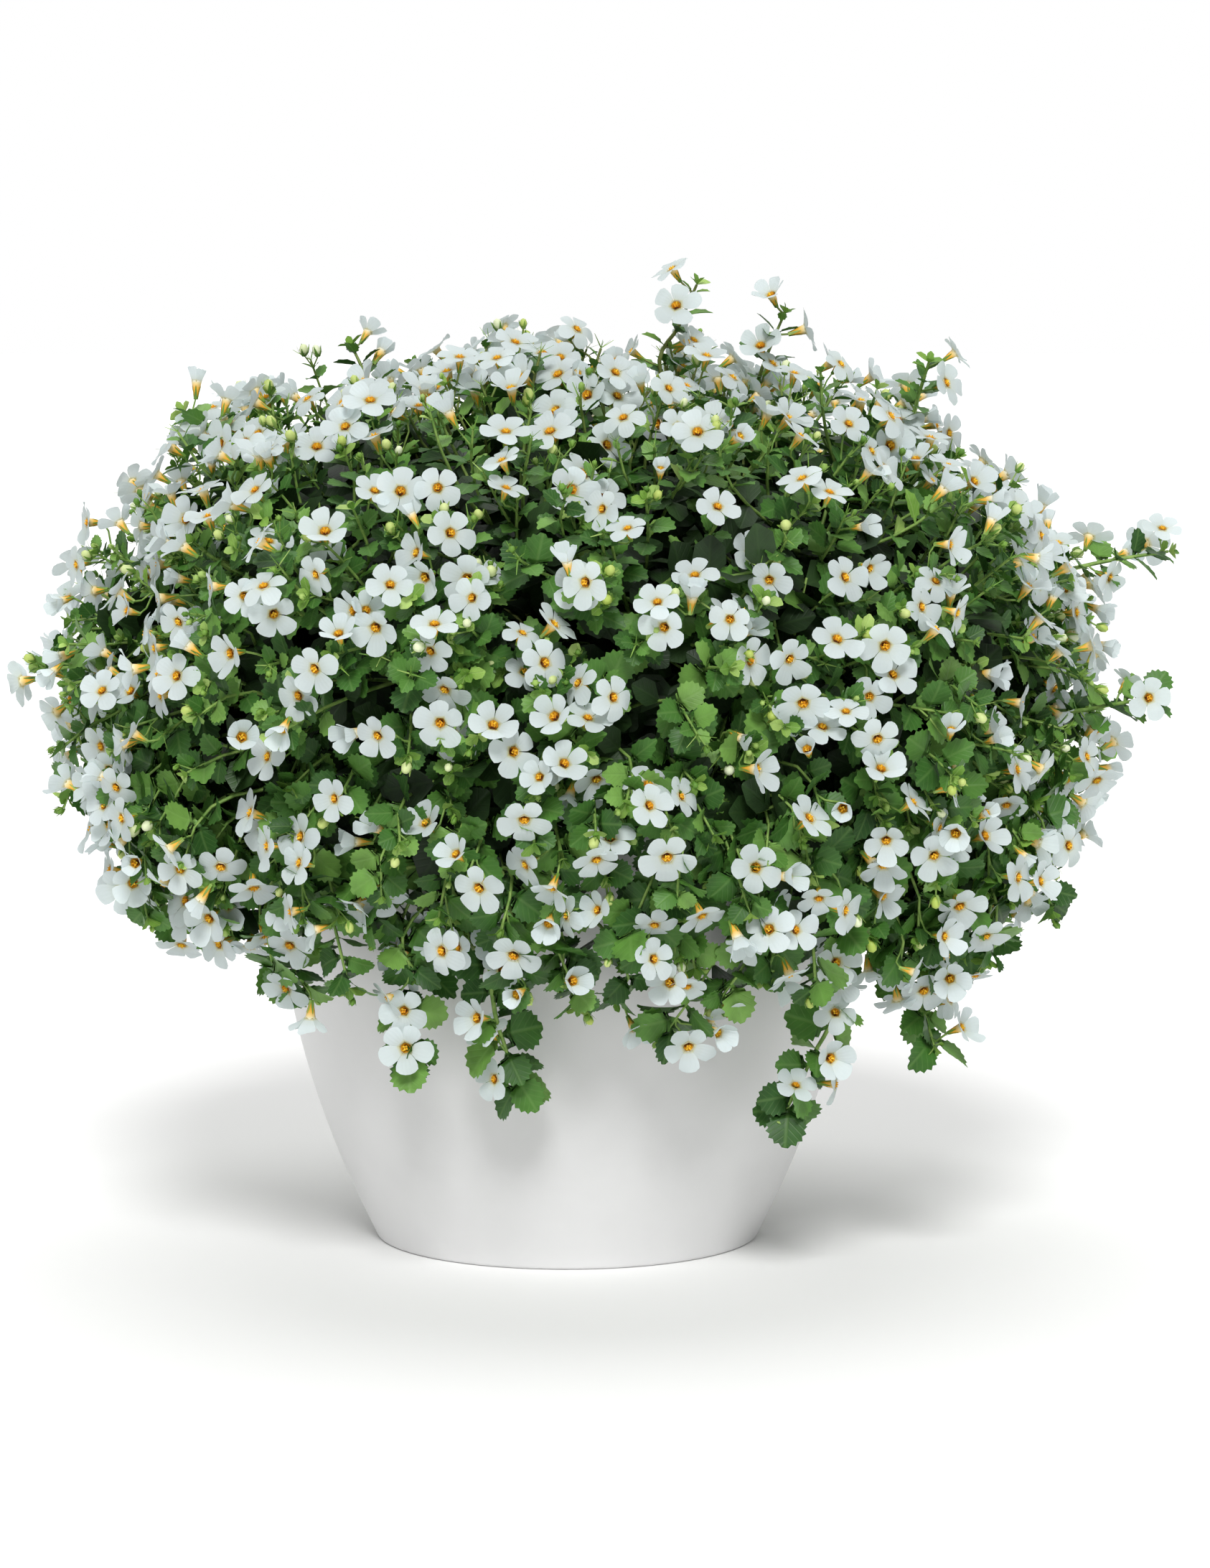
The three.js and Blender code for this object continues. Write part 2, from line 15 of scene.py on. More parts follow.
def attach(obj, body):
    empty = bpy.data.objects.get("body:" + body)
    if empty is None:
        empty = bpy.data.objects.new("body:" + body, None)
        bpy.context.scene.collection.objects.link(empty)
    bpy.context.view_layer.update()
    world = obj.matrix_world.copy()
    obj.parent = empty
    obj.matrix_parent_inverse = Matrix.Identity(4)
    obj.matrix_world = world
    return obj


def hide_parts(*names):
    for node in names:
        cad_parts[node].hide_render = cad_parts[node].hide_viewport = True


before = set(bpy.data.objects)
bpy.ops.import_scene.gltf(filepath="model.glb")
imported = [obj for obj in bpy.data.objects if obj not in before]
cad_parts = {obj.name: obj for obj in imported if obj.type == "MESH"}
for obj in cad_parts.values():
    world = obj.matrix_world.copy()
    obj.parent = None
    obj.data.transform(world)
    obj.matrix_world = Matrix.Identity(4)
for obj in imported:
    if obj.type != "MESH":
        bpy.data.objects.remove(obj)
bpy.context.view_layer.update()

MM = 0.001
Z = Vector((0, 0, 1))
FRONT = Vector((0, -1, 0))
GOLDEN_ANGLE = math.pi * (3 - math.sqrt(5))

# Pot: a ten inch round pot whose wall swells out from a narrow base
POT_HEIGHT = 210 * MM
BASE_RADIUS = 81 * MM
RIM_RADIUS = 127 * MM
WALL_SWELL = 2.4
WALL = 3 * MM
FLOOR = 4 * MM
LIP_HEIGHT = 9 * MM
LIP_PROUD = 1.6 * MM
EDGE_ROUND = 2.5 * MM
DRAIN_HOLES = 5
DRAIN_RADIUS = 5 * MM
DRAIN_CIRCLE = 48 * MM
POT_STEPS = 128

# Potting mix: fills the pot to a finger below the rim and rises a little in the middle
SOIL_EDGE = 188 * MM
SOIL_MIDDLE = 194 * MM
SOIL_GAP = 0.4 * MM
SOIL_LUMPS = 1.6 * MM
SOIL_STEPS = 120
PERLITE_GRAINS = 260

# Stems: how deep they root, how far from the middle they stand, the hub below the crown and clear
# of the pot that each runs to, where they pass the rim, outwards and up from it, and radii from
# foot to tip
ROOT_DEPTH = 18 * MM
STAND_NEAR = 10 * MM
STAND_SPREAD = 82 * MM
STAND_POWER = 0.75
HUB_DEPTH = 46 * MM
HUB_CLEAR = 12 * MM
OVER_RIM = 25 * MM
BELOW_RIM = 20 * MM
RIM_WAY = [(-16 * MM, 12 * MM), (6 * MM, 12 * MM), (17 * MM, -6 * MM)]
ARC_STEPS = 6
STEM_RADII = (1.7 * MM, 1.2 * MM)
LEADER_RADII = (1.2 * MM, 0.6 * MM)
TWIG_RADII = (1.0 * MM, 0.55 * MM)
INNER_RADII = (0.9 * MM, 0.6 * MM)
STALK_RADII = (0.5 * MM, 0.42 * MM)
BUD_STALK_RADII = (0.4 * MM, 0.35 * MM)

# Crown: the rounded surface that the blooms and leaves reach, wider than it is high, with
# shallow lobes, a top that sinks a little, and a hem that hangs lowest in front, towards the
# right. A share runs from 0 at its top to 1 at its hem
CROWN_X = 4 * MM
CROWN_RADIUS = 220 * MM
CROWN_MIDDLE = 216 * MM
CROWN_RISE = 166 * MM
DOME_POWER = 2.5
HEM_RADIUS = 150 * MM
HEM_FALL = 100 * MM
HEM_POWER = 1.7
HEM_END = 1.42
HEM_SWAY = 0.18
HEM_LIFT = 0.07
HEM_TURN = 1
WIDE_LOBE = 0.015
TALL_LOBE = 0.027
TALL_LOBE_RISE = 45 * MM
FINE_LOBE = 0.015
FINE_LOBE_RISE = 37 * MM
CROWN_STEPS = 160
TOP_SHARE = 0.35
TOP_SINK = 9 * MM

# Tufts: swellings of the crown, whose crests have more blooms than the hollows between them
TUFT_WIDTH = 46 * MM
TUFT_RISE = 24 * MM
CARRIED_RISE = 0.8 * TUFT_RISE
CREST_BLOOMS = 0.6

# Growth: shoots, the spots that they carry, and the twigs that fill the crown between these
SHOOTS = 50
SHOOT_TURN = 1.8
CARRIED = 440
CARRIED_ASTRAY = 2 * MM
CARRIED_DEPTHS = (-5.4 * MM, 3.6 * MM)
BLOOM_SHARE = 0.68
CARRIED_LEAN = 0.7
CARRIED_LOOK_UP = 0.12
BETWEEN = 600
BETWEEN_TRIES = 9000
BETWEEN_SPACE = 9.5 * MM
BETWEEN_DEPTHS = (-14 * MM, 5 * MM)
BETWEEN_LEAN = 1.1
BETWEEN_LOOK_UP = 0.15
BETWEEN_BLOOMS = 1.0
THIN_HEM = 0.93
HEM_KEPT = 0.5
PAIRED_BLOOMS = 0.13
PAIR_SPACE = 13 * MM
BUDS_A_TWIG = (0.3, 2.4)
CREAM_BUDS = 0.35
SPIKY_TIPS = 0.8

# Leaf pairs: how many a twig has, the way from each to the next, where plain ones begin, whose
# dark green is partly painted shade, and the short twigs inside the crown
TWIG_PAIRS = 5
TOP_TWIG_PAIRS = 6
LEADER_PAIRS = 10
FIRST_PAIR = 4 * MM
PAIR_STEP = 5 * MM
TWIG_STEP_GROWTH = 2.2 * MM
LEADER_STEP_GROWTH = 1.0 * MM
PLAIN_FROM = 4
INNER_TWIGS = 11
INNER_PAIRS = 4

# Bloom: five spoon shaped petals, the upper two smaller, round a throat on a funnel
PETALS = 5
PETAL_REACH = 10.8 * MM
PETAL_HALF = 4.05 * MM
NOTCH_SHARE = 0.42
WIDEST_SHARE = 0.71
JOINED = 0.74
END_NARROWING = 0.36
UPPER_PETALS = (0, 4)
UPPER_SIZE = 0.9
THROAT_RADIUS = 1.7 * MM
THROAT_DIP = 1.3 * MM
THROAT_FADE = 1.8 * MM
TUBE_LENGTH = 8.2 * MM
TUBE_SIDES = 7
FUNNEL_RINGS = [(0.8 * MM, -TUBE_LENGTH), (1.5 * MM, -4.8 * MM), (2.3 * MM, -0.75 * MM)]
THROAT_RINGS = [(0.8 * MM, -3.6 * MM), (1.9 * MM, -0.9 * MM)]
ANTHERS = 4
BLOOM_SIZES = (0.82, 1.06)
BLOOM_SPIN = 0.7
OPEN_BLOOMS = 0.86

# Leaf: a rounded blade on a slim stalk, for a leaf one unit long, and the young leaves of a
# growing tip, by their lengths in mm and their leans from it in degrees
BLADE_HALF = 0.44
BLADE_FOOT = 0.87
BLADE_SWEEP = 0.82
STALK_HALF = 0.022
NEEDLES = [(7.5, 52), (7, 48), (5.5, 34), (5, 28), (3.6, 14), (3.2, 8)]
SMALL_LEAVES = [(7, 62), (6.5, 56), (4.6, 34), (4.2, 26)]

# Leaders: tips that stand out of the crown or hang below its hem, by their far ends in mm, the
# length at their foot without blooms and the most at their end with them
LEADERS = [
    (54, -30, 404), (92, 10, 392), (-158, -40, 352), (-92, 25, 378), (150, -36, 372),
    (252, -20, 293), (246, -36, 233), (-70, 150, 368), (70, 212, 326),
    (-18, -138, 84), (88, -122, 72), (-62, -142, 96), (150, -96, 96), (-128, 92, 92), (70, 134, 88),
]
LEADER_FOOT = 25 * MM
LEADER_BLOOMING = 75 * MM

# Places in the lists of materials of the mix, of a leafy piece and of a piece of blooms
PEAT, PERLITE = range(2)
# The last place of a leafy piece is a dark green for leaves deep in the crown, partly painted shade
WAXY, YOUNG, BARK, BUD, PAINTED_SHADE = range(5)
PETAL, THROAT, FUNNEL, ANTHER = range(4)

# Studio: how strongly the white surround lights the plant, and the floor's radius in metres
SURROUND = 0.43
FLOOR_RADIUS = 30

# Camera: two metres in front of the pot, about level with the crown's top
CAMERA_PLACE = Vector((0.016, -2.0, 0.40))
CAMERA_AIM = Vector((0.016, 0, 0.193))
CAMERA_LENS = 108.6


def dice(seed):
    """A run of numbers, each between a low and a high value. The same seed gives the same run, and
    the seeds here only keep the runs apart."""
    state = (seed + 1) * 2654435761 & 0xFFFFFFFF

    def toss(low=0.0, high=1.0):
        nonlocal state
        state = (state * 1664525 + 1013904223) & 0xFFFFFFFF
        return low + (high - low) * state / 4294967296

    return toss


def linear(code):
    """An sRGB hex colour as linear red, green, blue and alpha."""
    parts = [int(code[i:i + 2], 16) / 255 for i in (1, 3, 5)]
    return [c / 12.92 if c <= 0.04045 else ((c + 0.055) / 1.055) ** 2.4 for c in parts] + [1.0]


def add(tree, kind, inputs=None, stops=None, **settings):
    """A node with its settings, its colour stops if it is a ramp, and its inputs or links."""
    node = tree.nodes.new(kind)
    for name, value in settings.items():
        setattr(node, name, value)
    for socket, value in (inputs or {}).items():
        if isinstance(value, bpy.types.NodeSocket):
            tree.links.new(value, node.inputs[socket])
        else:
            node.inputs[socket].default_value = value
    if stops:
        marks = node.color_ramp.elements
        for _ in stops[2:]:
            marks.new(0.5)
        for mark, (place, colour) in zip(marks, stops):
            mark.position = place
            mark.color = linear(colour)
    return node


def new_material(name):
    """A material and its empty node tree."""
    material = bpy.data.materials.new(name)
    material.use_nodes = True
    material.node_tree.nodes.clear()
    return material, material.node_tree


# Leaf blade: living tissue under a thin wax, so a soft broken gloss, paler veins that lie
# in the quilted blade, and some light that comes through from behind
def leaf_tissue(name, shades, vein, through):
    material, tree = new_material(name)
    island = add(tree, "ShaderNodeNewGeometry").outputs["Random Per Island"]
    tint = add(tree, "ShaderNodeValToRGB", {"Fac": island}, stops=shades)
    place = add(tree, "ShaderNodeTexCoord").outputs["Object"]
    mottle = add(tree, "ShaderNodeTexNoise", {"Vector": place, "Scale": 1 / (9 * MM), "Detail": 2.0})
    value = add(tree, "ShaderNodeMapRange", {
        "Value": mottle.outputs["Fac"], "From Min": 0.3, "From Max": 0.7, "To Min": 0.8, "To Max": 1.2})
    mottled = add(tree, "ShaderNodeHueSaturation", {
        "Value": value.outputs["Result"], "Color": tint.outputs["Color"]})
    surface = add(tree, "ShaderNodeUVMap", uv_map="surface").outputs["UV"]
    split = add(tree, "ShaderNodeSeparateXYZ", {"Vector": surface})
    off = add(tree, "ShaderNodeMath", {0: split.outputs["X"], 1: 0.5}, operation="SUBTRACT")
    aside = add(tree, "ShaderNodeMath", {0: off.outputs[0]}, operation="ABSOLUTE")
    rib = add(tree, "ShaderNodeMapRange", {
        "Value": aside.outputs[0], "From Min": 0.015, "From Max": 0.06, "To Min": 1.0, "To Max": 0.0})
    slant = add(tree, "ShaderNodeMath", {0: aside.outputs[0], 1: -0.9, 2: split.outputs["Y"]},
                operation="MULTIPLY_ADD")
    beat = add(tree, "ShaderNodeMath", {0: slant.outputs[0], 1: 0.085}, operation="PINGPONG")
    nerve = add(tree, "ShaderNodeMapRange", {
        "Value": beat.outputs[0], "From Min": 0.0, "From Max": 0.03, "To Min": 0.5, "To Max": 0.0})
    veins = add(tree, "ShaderNodeMath", {0: rib.outputs[0], 1: nerve.outputs[0]}, operation="MAXIMUM")
    amount = add(tree, "ShaderNodeMath", {0: veins.outputs[0], 1: 0.19}, operation="MULTIPLY")
    colour = add(tree, "ShaderNodeMix", {
        "Factor": amount.outputs[0], "A": mottled.outputs["Color"], "B": linear(vein)},
        data_type="RGBA")
    relief = add(tree, "ShaderNodeBump", {
        "Strength": 0.5, "Distance": 0.2 * MM, "Height": veins.outputs[0]}, invert=True)
    skin = add(tree, "ShaderNodeBsdfPrincipled", {
        "Base Color": colour.outputs["Result"], "Roughness": 0.46, "IOR": 1.42,
        "Specular IOR Level": 0.45, "Normal": relief.outputs["Normal"]})
    glow = add(tree, "ShaderNodeBsdfTranslucent", {
        "Color": colour.outputs["Result"], "Normal": relief.outputs["Normal"]})
    blade = add(tree, "ShaderNodeMixShader", {0: through, 1: skin.outputs[0], 2: glow.outputs[0]})
    add(tree, "ShaderNodeOutputMaterial", {"Surface": blade.outputs[0]})
    return material


# Stem: soft green bark with fine hairs, which break its gloss, browner in the plant's middle
def stem_bark():
    material, tree = new_material("green_stem_bark")
    place = add(tree, "ShaderNodeTexCoord").outputs["Object"]
    flat = add(tree, "ShaderNodeVectorMath", {0: place, 1: (1, 1, 0)}, operation="MULTIPLY")
    radius = add(tree, "ShaderNodeVectorMath", {0: flat.outputs[0]}, operation="LENGTH")
    grain = add(tree, "ShaderNodeTexNoise", {"Vector": place, "Scale": 1 / (4 * MM), "Detail": 3.0})
    green = add(tree, "ShaderNodeValToRGB", {"Fac": grain.outputs["Fac"]},
                stops=[(0.3, "#5f8538"), (0.7, "#93b15c")])
    woody = add(tree, "ShaderNodeMapRange", {
        "Value": radius.outputs["Value"], "From Min": 70 * MM, "From Max": 130 * MM, "To Min": 0.5,
        "To Max": 0.0})
    colour = add(tree, "ShaderNodeMix", {
        "Factor": woody.outputs[0], "A": green.outputs["Color"], "B": linear("#6b5436")},
        data_type="RGBA")
    relief = add(tree, "ShaderNodeBump", {
        "Strength": 0.4, "Distance": 0.2 * MM, "Height": grain.outputs["Fac"]})
    skin = add(tree, "ShaderNodeBsdfPrincipled", {
        "Base Color": colour.outputs["Result"], "Roughness": 0.6, "IOR": 1.42,
        "Normal": relief.outputs["Normal"]})
    add(tree, "ShaderNodeOutputMaterial", {"Surface": skin.outputs[0]})
    return material


# Bud: tight young tissue that ripens from yellow green to cream
def bud_tissue():
    material, tree = new_material("young_bud_tissue")
    island = add(tree, "ShaderNodeNewGeometry").outputs["Random Per Island"]
    tint = add(tree, "ShaderNodeValToRGB", {"Fac": island},
               stops=[(0.0, "#a9bd55"), (0.5, "#c3d184"), (1.0, "#dde4c4")])
    skin = add(tree, "ShaderNodeBsdfPrincipled", {
        "Base Color": tint.outputs["Color"], "Roughness": 0.5, "IOR": 1.42})
    add(tree, "ShaderNodeOutputMaterial", {"Surface": skin.outputs[0]})
    return material


# Petal: thin matt white tissue with a cool cast, faint nerves from the throat outwards, and
# a narrow yellow ring where it meets the throat
def petal_tissue():
    material, tree = new_material("white_petal_tissue")
    island = add(tree, "ShaderNodeNewGeometry").outputs["Random Per Island"]
    surface = add(tree, "ShaderNodeUVMap", uv_map="surface").outputs["UV"]
    split = add(tree, "ShaderNodeSeparateXYZ", {"Vector": surface})
    along = add(tree, "ShaderNodeValToRGB", {"Fac": split.outputs["Y"]}, stops=[
        (0.0, "#cfa93c"), (0.04, "#dcd8aa"), (0.12, "#e5eeec"), (0.4, "#e9f3f5"), (1.0, "#ebf5f7")])
    value = add(tree, "ShaderNodeMapRange", {"Value": island, "To Min": 0.93, "To Max": 1.0})
    shade = add(tree, "ShaderNodeHueSaturation", {
        "Value": value.outputs[0], "Color": along.outputs["Color"]})
    across_petal = add(tree, "ShaderNodeCombineXYZ", {"X": split.outputs["X"]})
    fan = add(tree, "ShaderNodeTexWave", {
        "Vector": across_petal.outputs[0], "Scale": 1.6, "Distortion": 0.6}, wave_profile="SIN")
    relief = add(tree, "ShaderNodeBump", {
        "Strength": 0.25, "Distance": 0.15 * MM, "Height": fan.outputs["Fac"]})
    skin = add(tree, "ShaderNodeBsdfPrincipled", {
        "Base Color": shade.outputs["Color"], "Roughness": 0.62, "IOR": 1.38,
        "Specular IOR Level": 0.3, "Normal": relief.outputs["Normal"]})
    glow = add(tree, "ShaderNodeBsdfTranslucent", {
        "Color": shade.outputs["Color"], "Normal": relief.outputs["Normal"]})
    petal = add(tree, "ShaderNodeMixShader", {0: 0.44, 1: skin.outputs[0], 2: glow.outputs[0]})
    add(tree, "ShaderNodeOutputMaterial", {"Surface": petal.outputs[0]})
    return material


# Funnel: the bloom's tube, cream at its mouth and orange yellow towards its foot
def funnel_tissue():
    material, tree = new_material("cream_funnel_tissue")
    surface = add(tree, "ShaderNodeUVMap", uv_map="surface").outputs["UV"]
    split = add(tree, "ShaderNodeSeparateXYZ", {"Vector": surface})
    along = add(tree, "ShaderNodeValToRGB", {"Fac": split.outputs["Y"]}, stops=[
        (0.0, "#b8951f"), (0.25, "#e0a020"), (0.6, "#ecb648"), (0.85, "#eed79c"), (1.0, "#e2e4d8")])
    skin = add(tree, "ShaderNodeBsdfPrincipled", {
        "Base Color": along.outputs["Color"], "Roughness": 0.55, "IOR": 1.4})
    add(tree, "ShaderNodeOutputMaterial", {"Surface": skin.outputs[0]})
    return material


# Throat: the inside of the tube, golden at its mouth and brown at its bottom
def throat_tissue():
    material, tree = new_material("orange_throat_tissue")
    surface = add(tree, "ShaderNodeUVMap", uv_map="surface").outputs["UV"]
    split = add(tree, "ShaderNodeSeparateXYZ", {"Vector": surface})
    along = add(tree, "ShaderNodeValToRGB", {"Fac": split.outputs["Y"]}, stops=[
        (0.0, "#5a3212"), (0.45, "#b87716"), (1.0, "#dfae2c")])
    skin = add(tree, "ShaderNodeBsdfPrincipled", {
        "Base Color": along.outputs["Color"], "Roughness": 0.6, "IOR": 1.4})
    add(tree, "ShaderNodeOutputMaterial", {"Surface": skin.outputs[0]})
    return material


# Anther: dry mealy pollen sacs, a strong matt yellow
def anther_meal():
    material, tree = new_material("yellow_anther_meal")
    island = add(tree, "ShaderNodeNewGeometry").outputs["Random Per Island"]
    tint = add(tree, "ShaderNodeValToRGB", {"Fac": island}, stops=[(0.0, "#e39c14"), (1.0, "#f7d23c")])
    skin = add(tree, "ShaderNodeBsdfPrincipled", {
        "Base Color": tint.outputs["Color"], "Roughness": 0.85, "IOR": 1.45})
    add(tree, "ShaderNodeOutputMaterial", {"Surface": skin.outputs[0]})
    return material


# Pot: injection moulded polypropylene with white pigment, an even satin skin whose fine
# mould grain spreads the highlight, a little duller where hands and damp have been
def moulded_polypropylene():
    material, tree = new_material("white_moulded_polypropylene")
    place = add(tree, "ShaderNodeTexCoord").outputs["Object"]
    grain = add(tree, "ShaderNodeTexNoise", {"Vector": place, "Scale": 1 / (0.7 * MM), "Detail": 2.0})
    haze = add(tree, "ShaderNodeTexNoise", {"Vector": place, "Scale": 1 / (38 * MM), "Detail": 4.0})
    colour = add(tree, "ShaderNodeValToRGB", {"Fac": haze.outputs["Fac"]},
                 stops=[(0.3, "#dadada"), (0.7, "#e0e0e0")])
    dull = add(tree, "ShaderNodeMapRange", {
        "Value": haze.outputs["Fac"], "From Min": 0.3, "From Max": 0.7, "To Min": 0.34, "To Max": 0.46})
    relief = add(tree, "ShaderNodeBump", {
        "Strength": 0.12, "Distance": 0.1 * MM, "Height": grain.outputs["Fac"]})
    skin = add(tree, "ShaderNodeBsdfPrincipled", {
        "Base Color": colour.outputs["Color"], "Roughness": dull.outputs[0], "IOR": 1.49,
        "Normal": relief.outputs["Normal"]})
    add(tree, "ShaderNodeOutputMaterial", {"Surface": skin.outputs[0]})
    return material


# Potting mix: crumbled peat and bark, dark, rough and fibrous
def peat_mix():
    material, tree = new_material("crumbled_peat_mix")
    place = add(tree, "ShaderNodeTexCoord").outputs["Object"]
    crumb = add(tree, "ShaderNodeTexNoise", {"Vector": place, "Scale": 1 / (3 * MM), "Detail": 6.0})
    tint = add(tree, "ShaderNodeValToRGB", {"Fac": crumb.outputs["Fac"]}, stops=[
        (0.3, "#17100b"), (0.5, "#2e2119"), (0.62, "#46342a"), (0.7, "#5f4a38")])
    relief = add(tree, "ShaderNodeBump", {
        "Strength": 0.9, "Distance": 1.2 * MM, "Height": crumb.outputs["Fac"]})
    skin = add(tree, "ShaderNodeBsdfPrincipled", {
        "Base Color": tint.outputs["Color"], "Roughness": 0.95, "IOR": 1.45,
        "Normal": relief.outputs["Normal"]})
    add(tree, "ShaderNodeOutputMaterial", {"Surface": skin.outputs[0]})
    return material


# Perlite: puffed volcanic glass, chalk white and pitted
def perlite_foam():
    material, tree = new_material("puffed_perlite")
    place = add(tree, "ShaderNodeTexCoord").outputs["Object"]
    pits = add(tree, "ShaderNodeTexVoronoi", {"Vector": place, "Scale": 1 / (0.8 * MM)})
    tint = add(tree, "ShaderNodeValToRGB", {"Fac": pits.outputs["Distance"]},
               stops=[(0.0, "#b9b2a4"), (0.5, "#e4e0d6")])
    relief = add(tree, "ShaderNodeBump", {
        "Strength": 0.7, "Distance": 0.3 * MM, "Height": pits.outputs["Distance"]})
    skin = add(tree, "ShaderNodeBsdfPrincipled", {
        "Base Color": tint.outputs["Color"], "Roughness": 0.9, "IOR": 1.5,
        "Normal": relief.outputs["Normal"]})
    add(tree, "ShaderNodeOutputMaterial", {"Surface": skin.outputs[0]})
    return material


# Studio floor: matt white painted board
def painted_board():
    material, tree = new_material("matt_white_board")
    place = add(tree, "ShaderNodeTexCoord").outputs["Object"]
    roller = add(tree, "ShaderNodeTexNoise", {"Vector": place, "Scale": 1 / (4 * MM), "Detail": 2.0})
    relief = add(tree, "ShaderNodeBump", {
        "Strength": 0.1, "Distance": 0.1 * MM, "Height": roller.outputs["Fac"]})
    skin = add(tree, "ShaderNodeBsdfPrincipled", {
        "Base Color": linear("#fbfbfa"), "Roughness": 0.8, "Normal": relief.outputs["Normal"]})
    add(tree, "ShaderNodeOutputMaterial", {"Surface": skin.outputs[0]})
    return material


def as_mesh(name, bm):
    """A mesh from a bmesh, which is used up."""
    mesh = bpy.data.meshes.new(name)
    bm.to_mesh(mesh)
    bm.free()
    return mesh


def in_scene(name, data):
    """An object in the scene that shows a mesh, curve, light or camera."""
    holder = bpy.data.objects.new(name, data)
    bpy.context.scene.collection.objects.link(holder)
    return holder


def faces_of(verts):
    """The faces that some vertices belong to."""
    return {face for vert in verts for face in vert.link_faces}


def dress_faces(faces, index, smooth=True):
    """Gives faces their place in the piece's list of materials and their shading."""
    for face in faces:
        face.material_index = index
        face.smooth = smooth


def make_piece(name, bm, materials, nodes):
    """A finished piece from its bmesh, which rides on the root body and replaces solid nodes."""
    mesh = as_mesh(name, bm)
    for material in materials:
        mesh.materials.append(material)
    piece = in_scene(name, mesh)
    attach(piece, "root")
    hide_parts(*nodes)
    return piece


def turned(profile, steps):
    """A profile of (radius, height) points, whose ends are on the Z axis, turned about it."""
    bm = bmesh.new()
    points = [bm.verts.new((radius, 0, height)) for radius, height in profile]
    edges = [bm.edges.new(pair) for pair in zip(points, points[1:])]
    bmesh.ops.spin(bm, geom=points + edges, cent=(0, 0, 0), axis=(0, 0, 1), angle=2 * math.pi,
                   steps=steps, use_merge=True)
    bmesh.ops.remove_doubles(bm, verts=bm.verts, dist=0.01 * MM)
    bmesh.ops.recalc_face_normals(bm, faces=bm.faces)
    return bm


def pot_radius(height):
    """Outside radius of the pot at a height, swelling fast near the base and slowly near the rim."""
    left = max(0.0, 1 - height / POT_HEIGHT)
    return BASE_RADIUS + (RIM_RADIUS - BASE_RADIUS) * (1 - left ** WALL_SWELL)


def arc(centre_r, centre_z, radius, start, end, steps):
    """Points of a round corner in the profile plane, from one angle in degrees to another."""
    turns = [math.radians(start + (end - start) * i / steps) for i in range(steps + 1)]
    return [(centre_r + radius * math.cos(a), centre_z + radius * math.sin(a)) for a in turns]


def pot_profile():
    """The wall's section from the middle of the floor's underside round to the floor's upper side."""
    lip_low = POT_HEIGHT - LIP_HEIGHT
    lip_radius = RIM_RADIUS + LIP_PROUD
    soft = 0.8 * MM
    profile = [(0, 0), (BASE_RADIUS - 8 * MM, 0)]
    profile += arc(pot_radius(EDGE_ROUND) - EDGE_ROUND, EDGE_ROUND, EDGE_ROUND, -90, -12, 6)
    heights = [EDGE_ROUND + (lip_low - EDGE_ROUND) * (i / 24) for i in range(1, 25)]
    profile += [(pot_radius(height), height) for height in heights]
    profile += arc(lip_radius - soft, lip_low + LIP_PROUD + soft, soft, -60, 0, 2)
    profile += arc(lip_radius - soft, POT_HEIGHT - soft, soft, 0, 90, 3)
    profile += arc(RIM_RADIUS - WALL + soft, POT_HEIGHT - soft, soft, 90, 180, 3)
    heights = [FLOOR + (lip_low - FLOOR) * (1 - i / 16) for i in range(17)]
    profile += [(pot_radius(height) - WALL, height) for height in heights]
    return profile + [(0, FLOOR)]


def make_pot(material):
    """The pot with its drain holes, as one thin wall."""
    bm = turned(pot_profile(), POT_STEPS)
    pot = make_piece("moulded_pot", bm, [material], ["pot"])
    bm = bmesh.new()
    for i in range(DRAIN_HOLES):
        turn = Matrix.Rotation(2 * math.pi * i / DRAIN_HOLES, 4, "Z")
        place = turn @ Matrix.Translation((DRAIN_CIRCLE, 0, FLOOR / 2))
        bmesh.ops.create_cone(bm, cap_ends=True, segments=24, radius1=DRAIN_RADIUS,
                              radius2=DRAIN_RADIUS, depth=3 * FLOOR, matrix=place)
    cutter = in_scene("drain_cutter", as_mesh("drain_cutter", bm))
    cut = pot.modifiers.new("drains", "BOOLEAN")
    cut.object = cutter
    cut.operation = "DIFFERENCE"
    cut.solver = "EXACT"
    shaped = bpy.data.meshes.new_from_object(pot.evaluated_get(bpy.context.evaluated_depsgraph_get()))
    pot.modifiers.clear()
    pot.data = shaped
    bpy.data.objects.remove(cutter)
    shaped.shade_smooth()
    shaped.set_sharp_from_angle(angle=math.radians(40))


def soil_height(radius):
    """Height of the potting mix at a distance from the middle."""
    edge = pot_radius(SOIL_EDGE) - WALL - SOIL_GAP
    return SOIL_MIDDLE + (SOIL_EDGE - SOIL_MIDDLE) * (radius / edge) ** 2


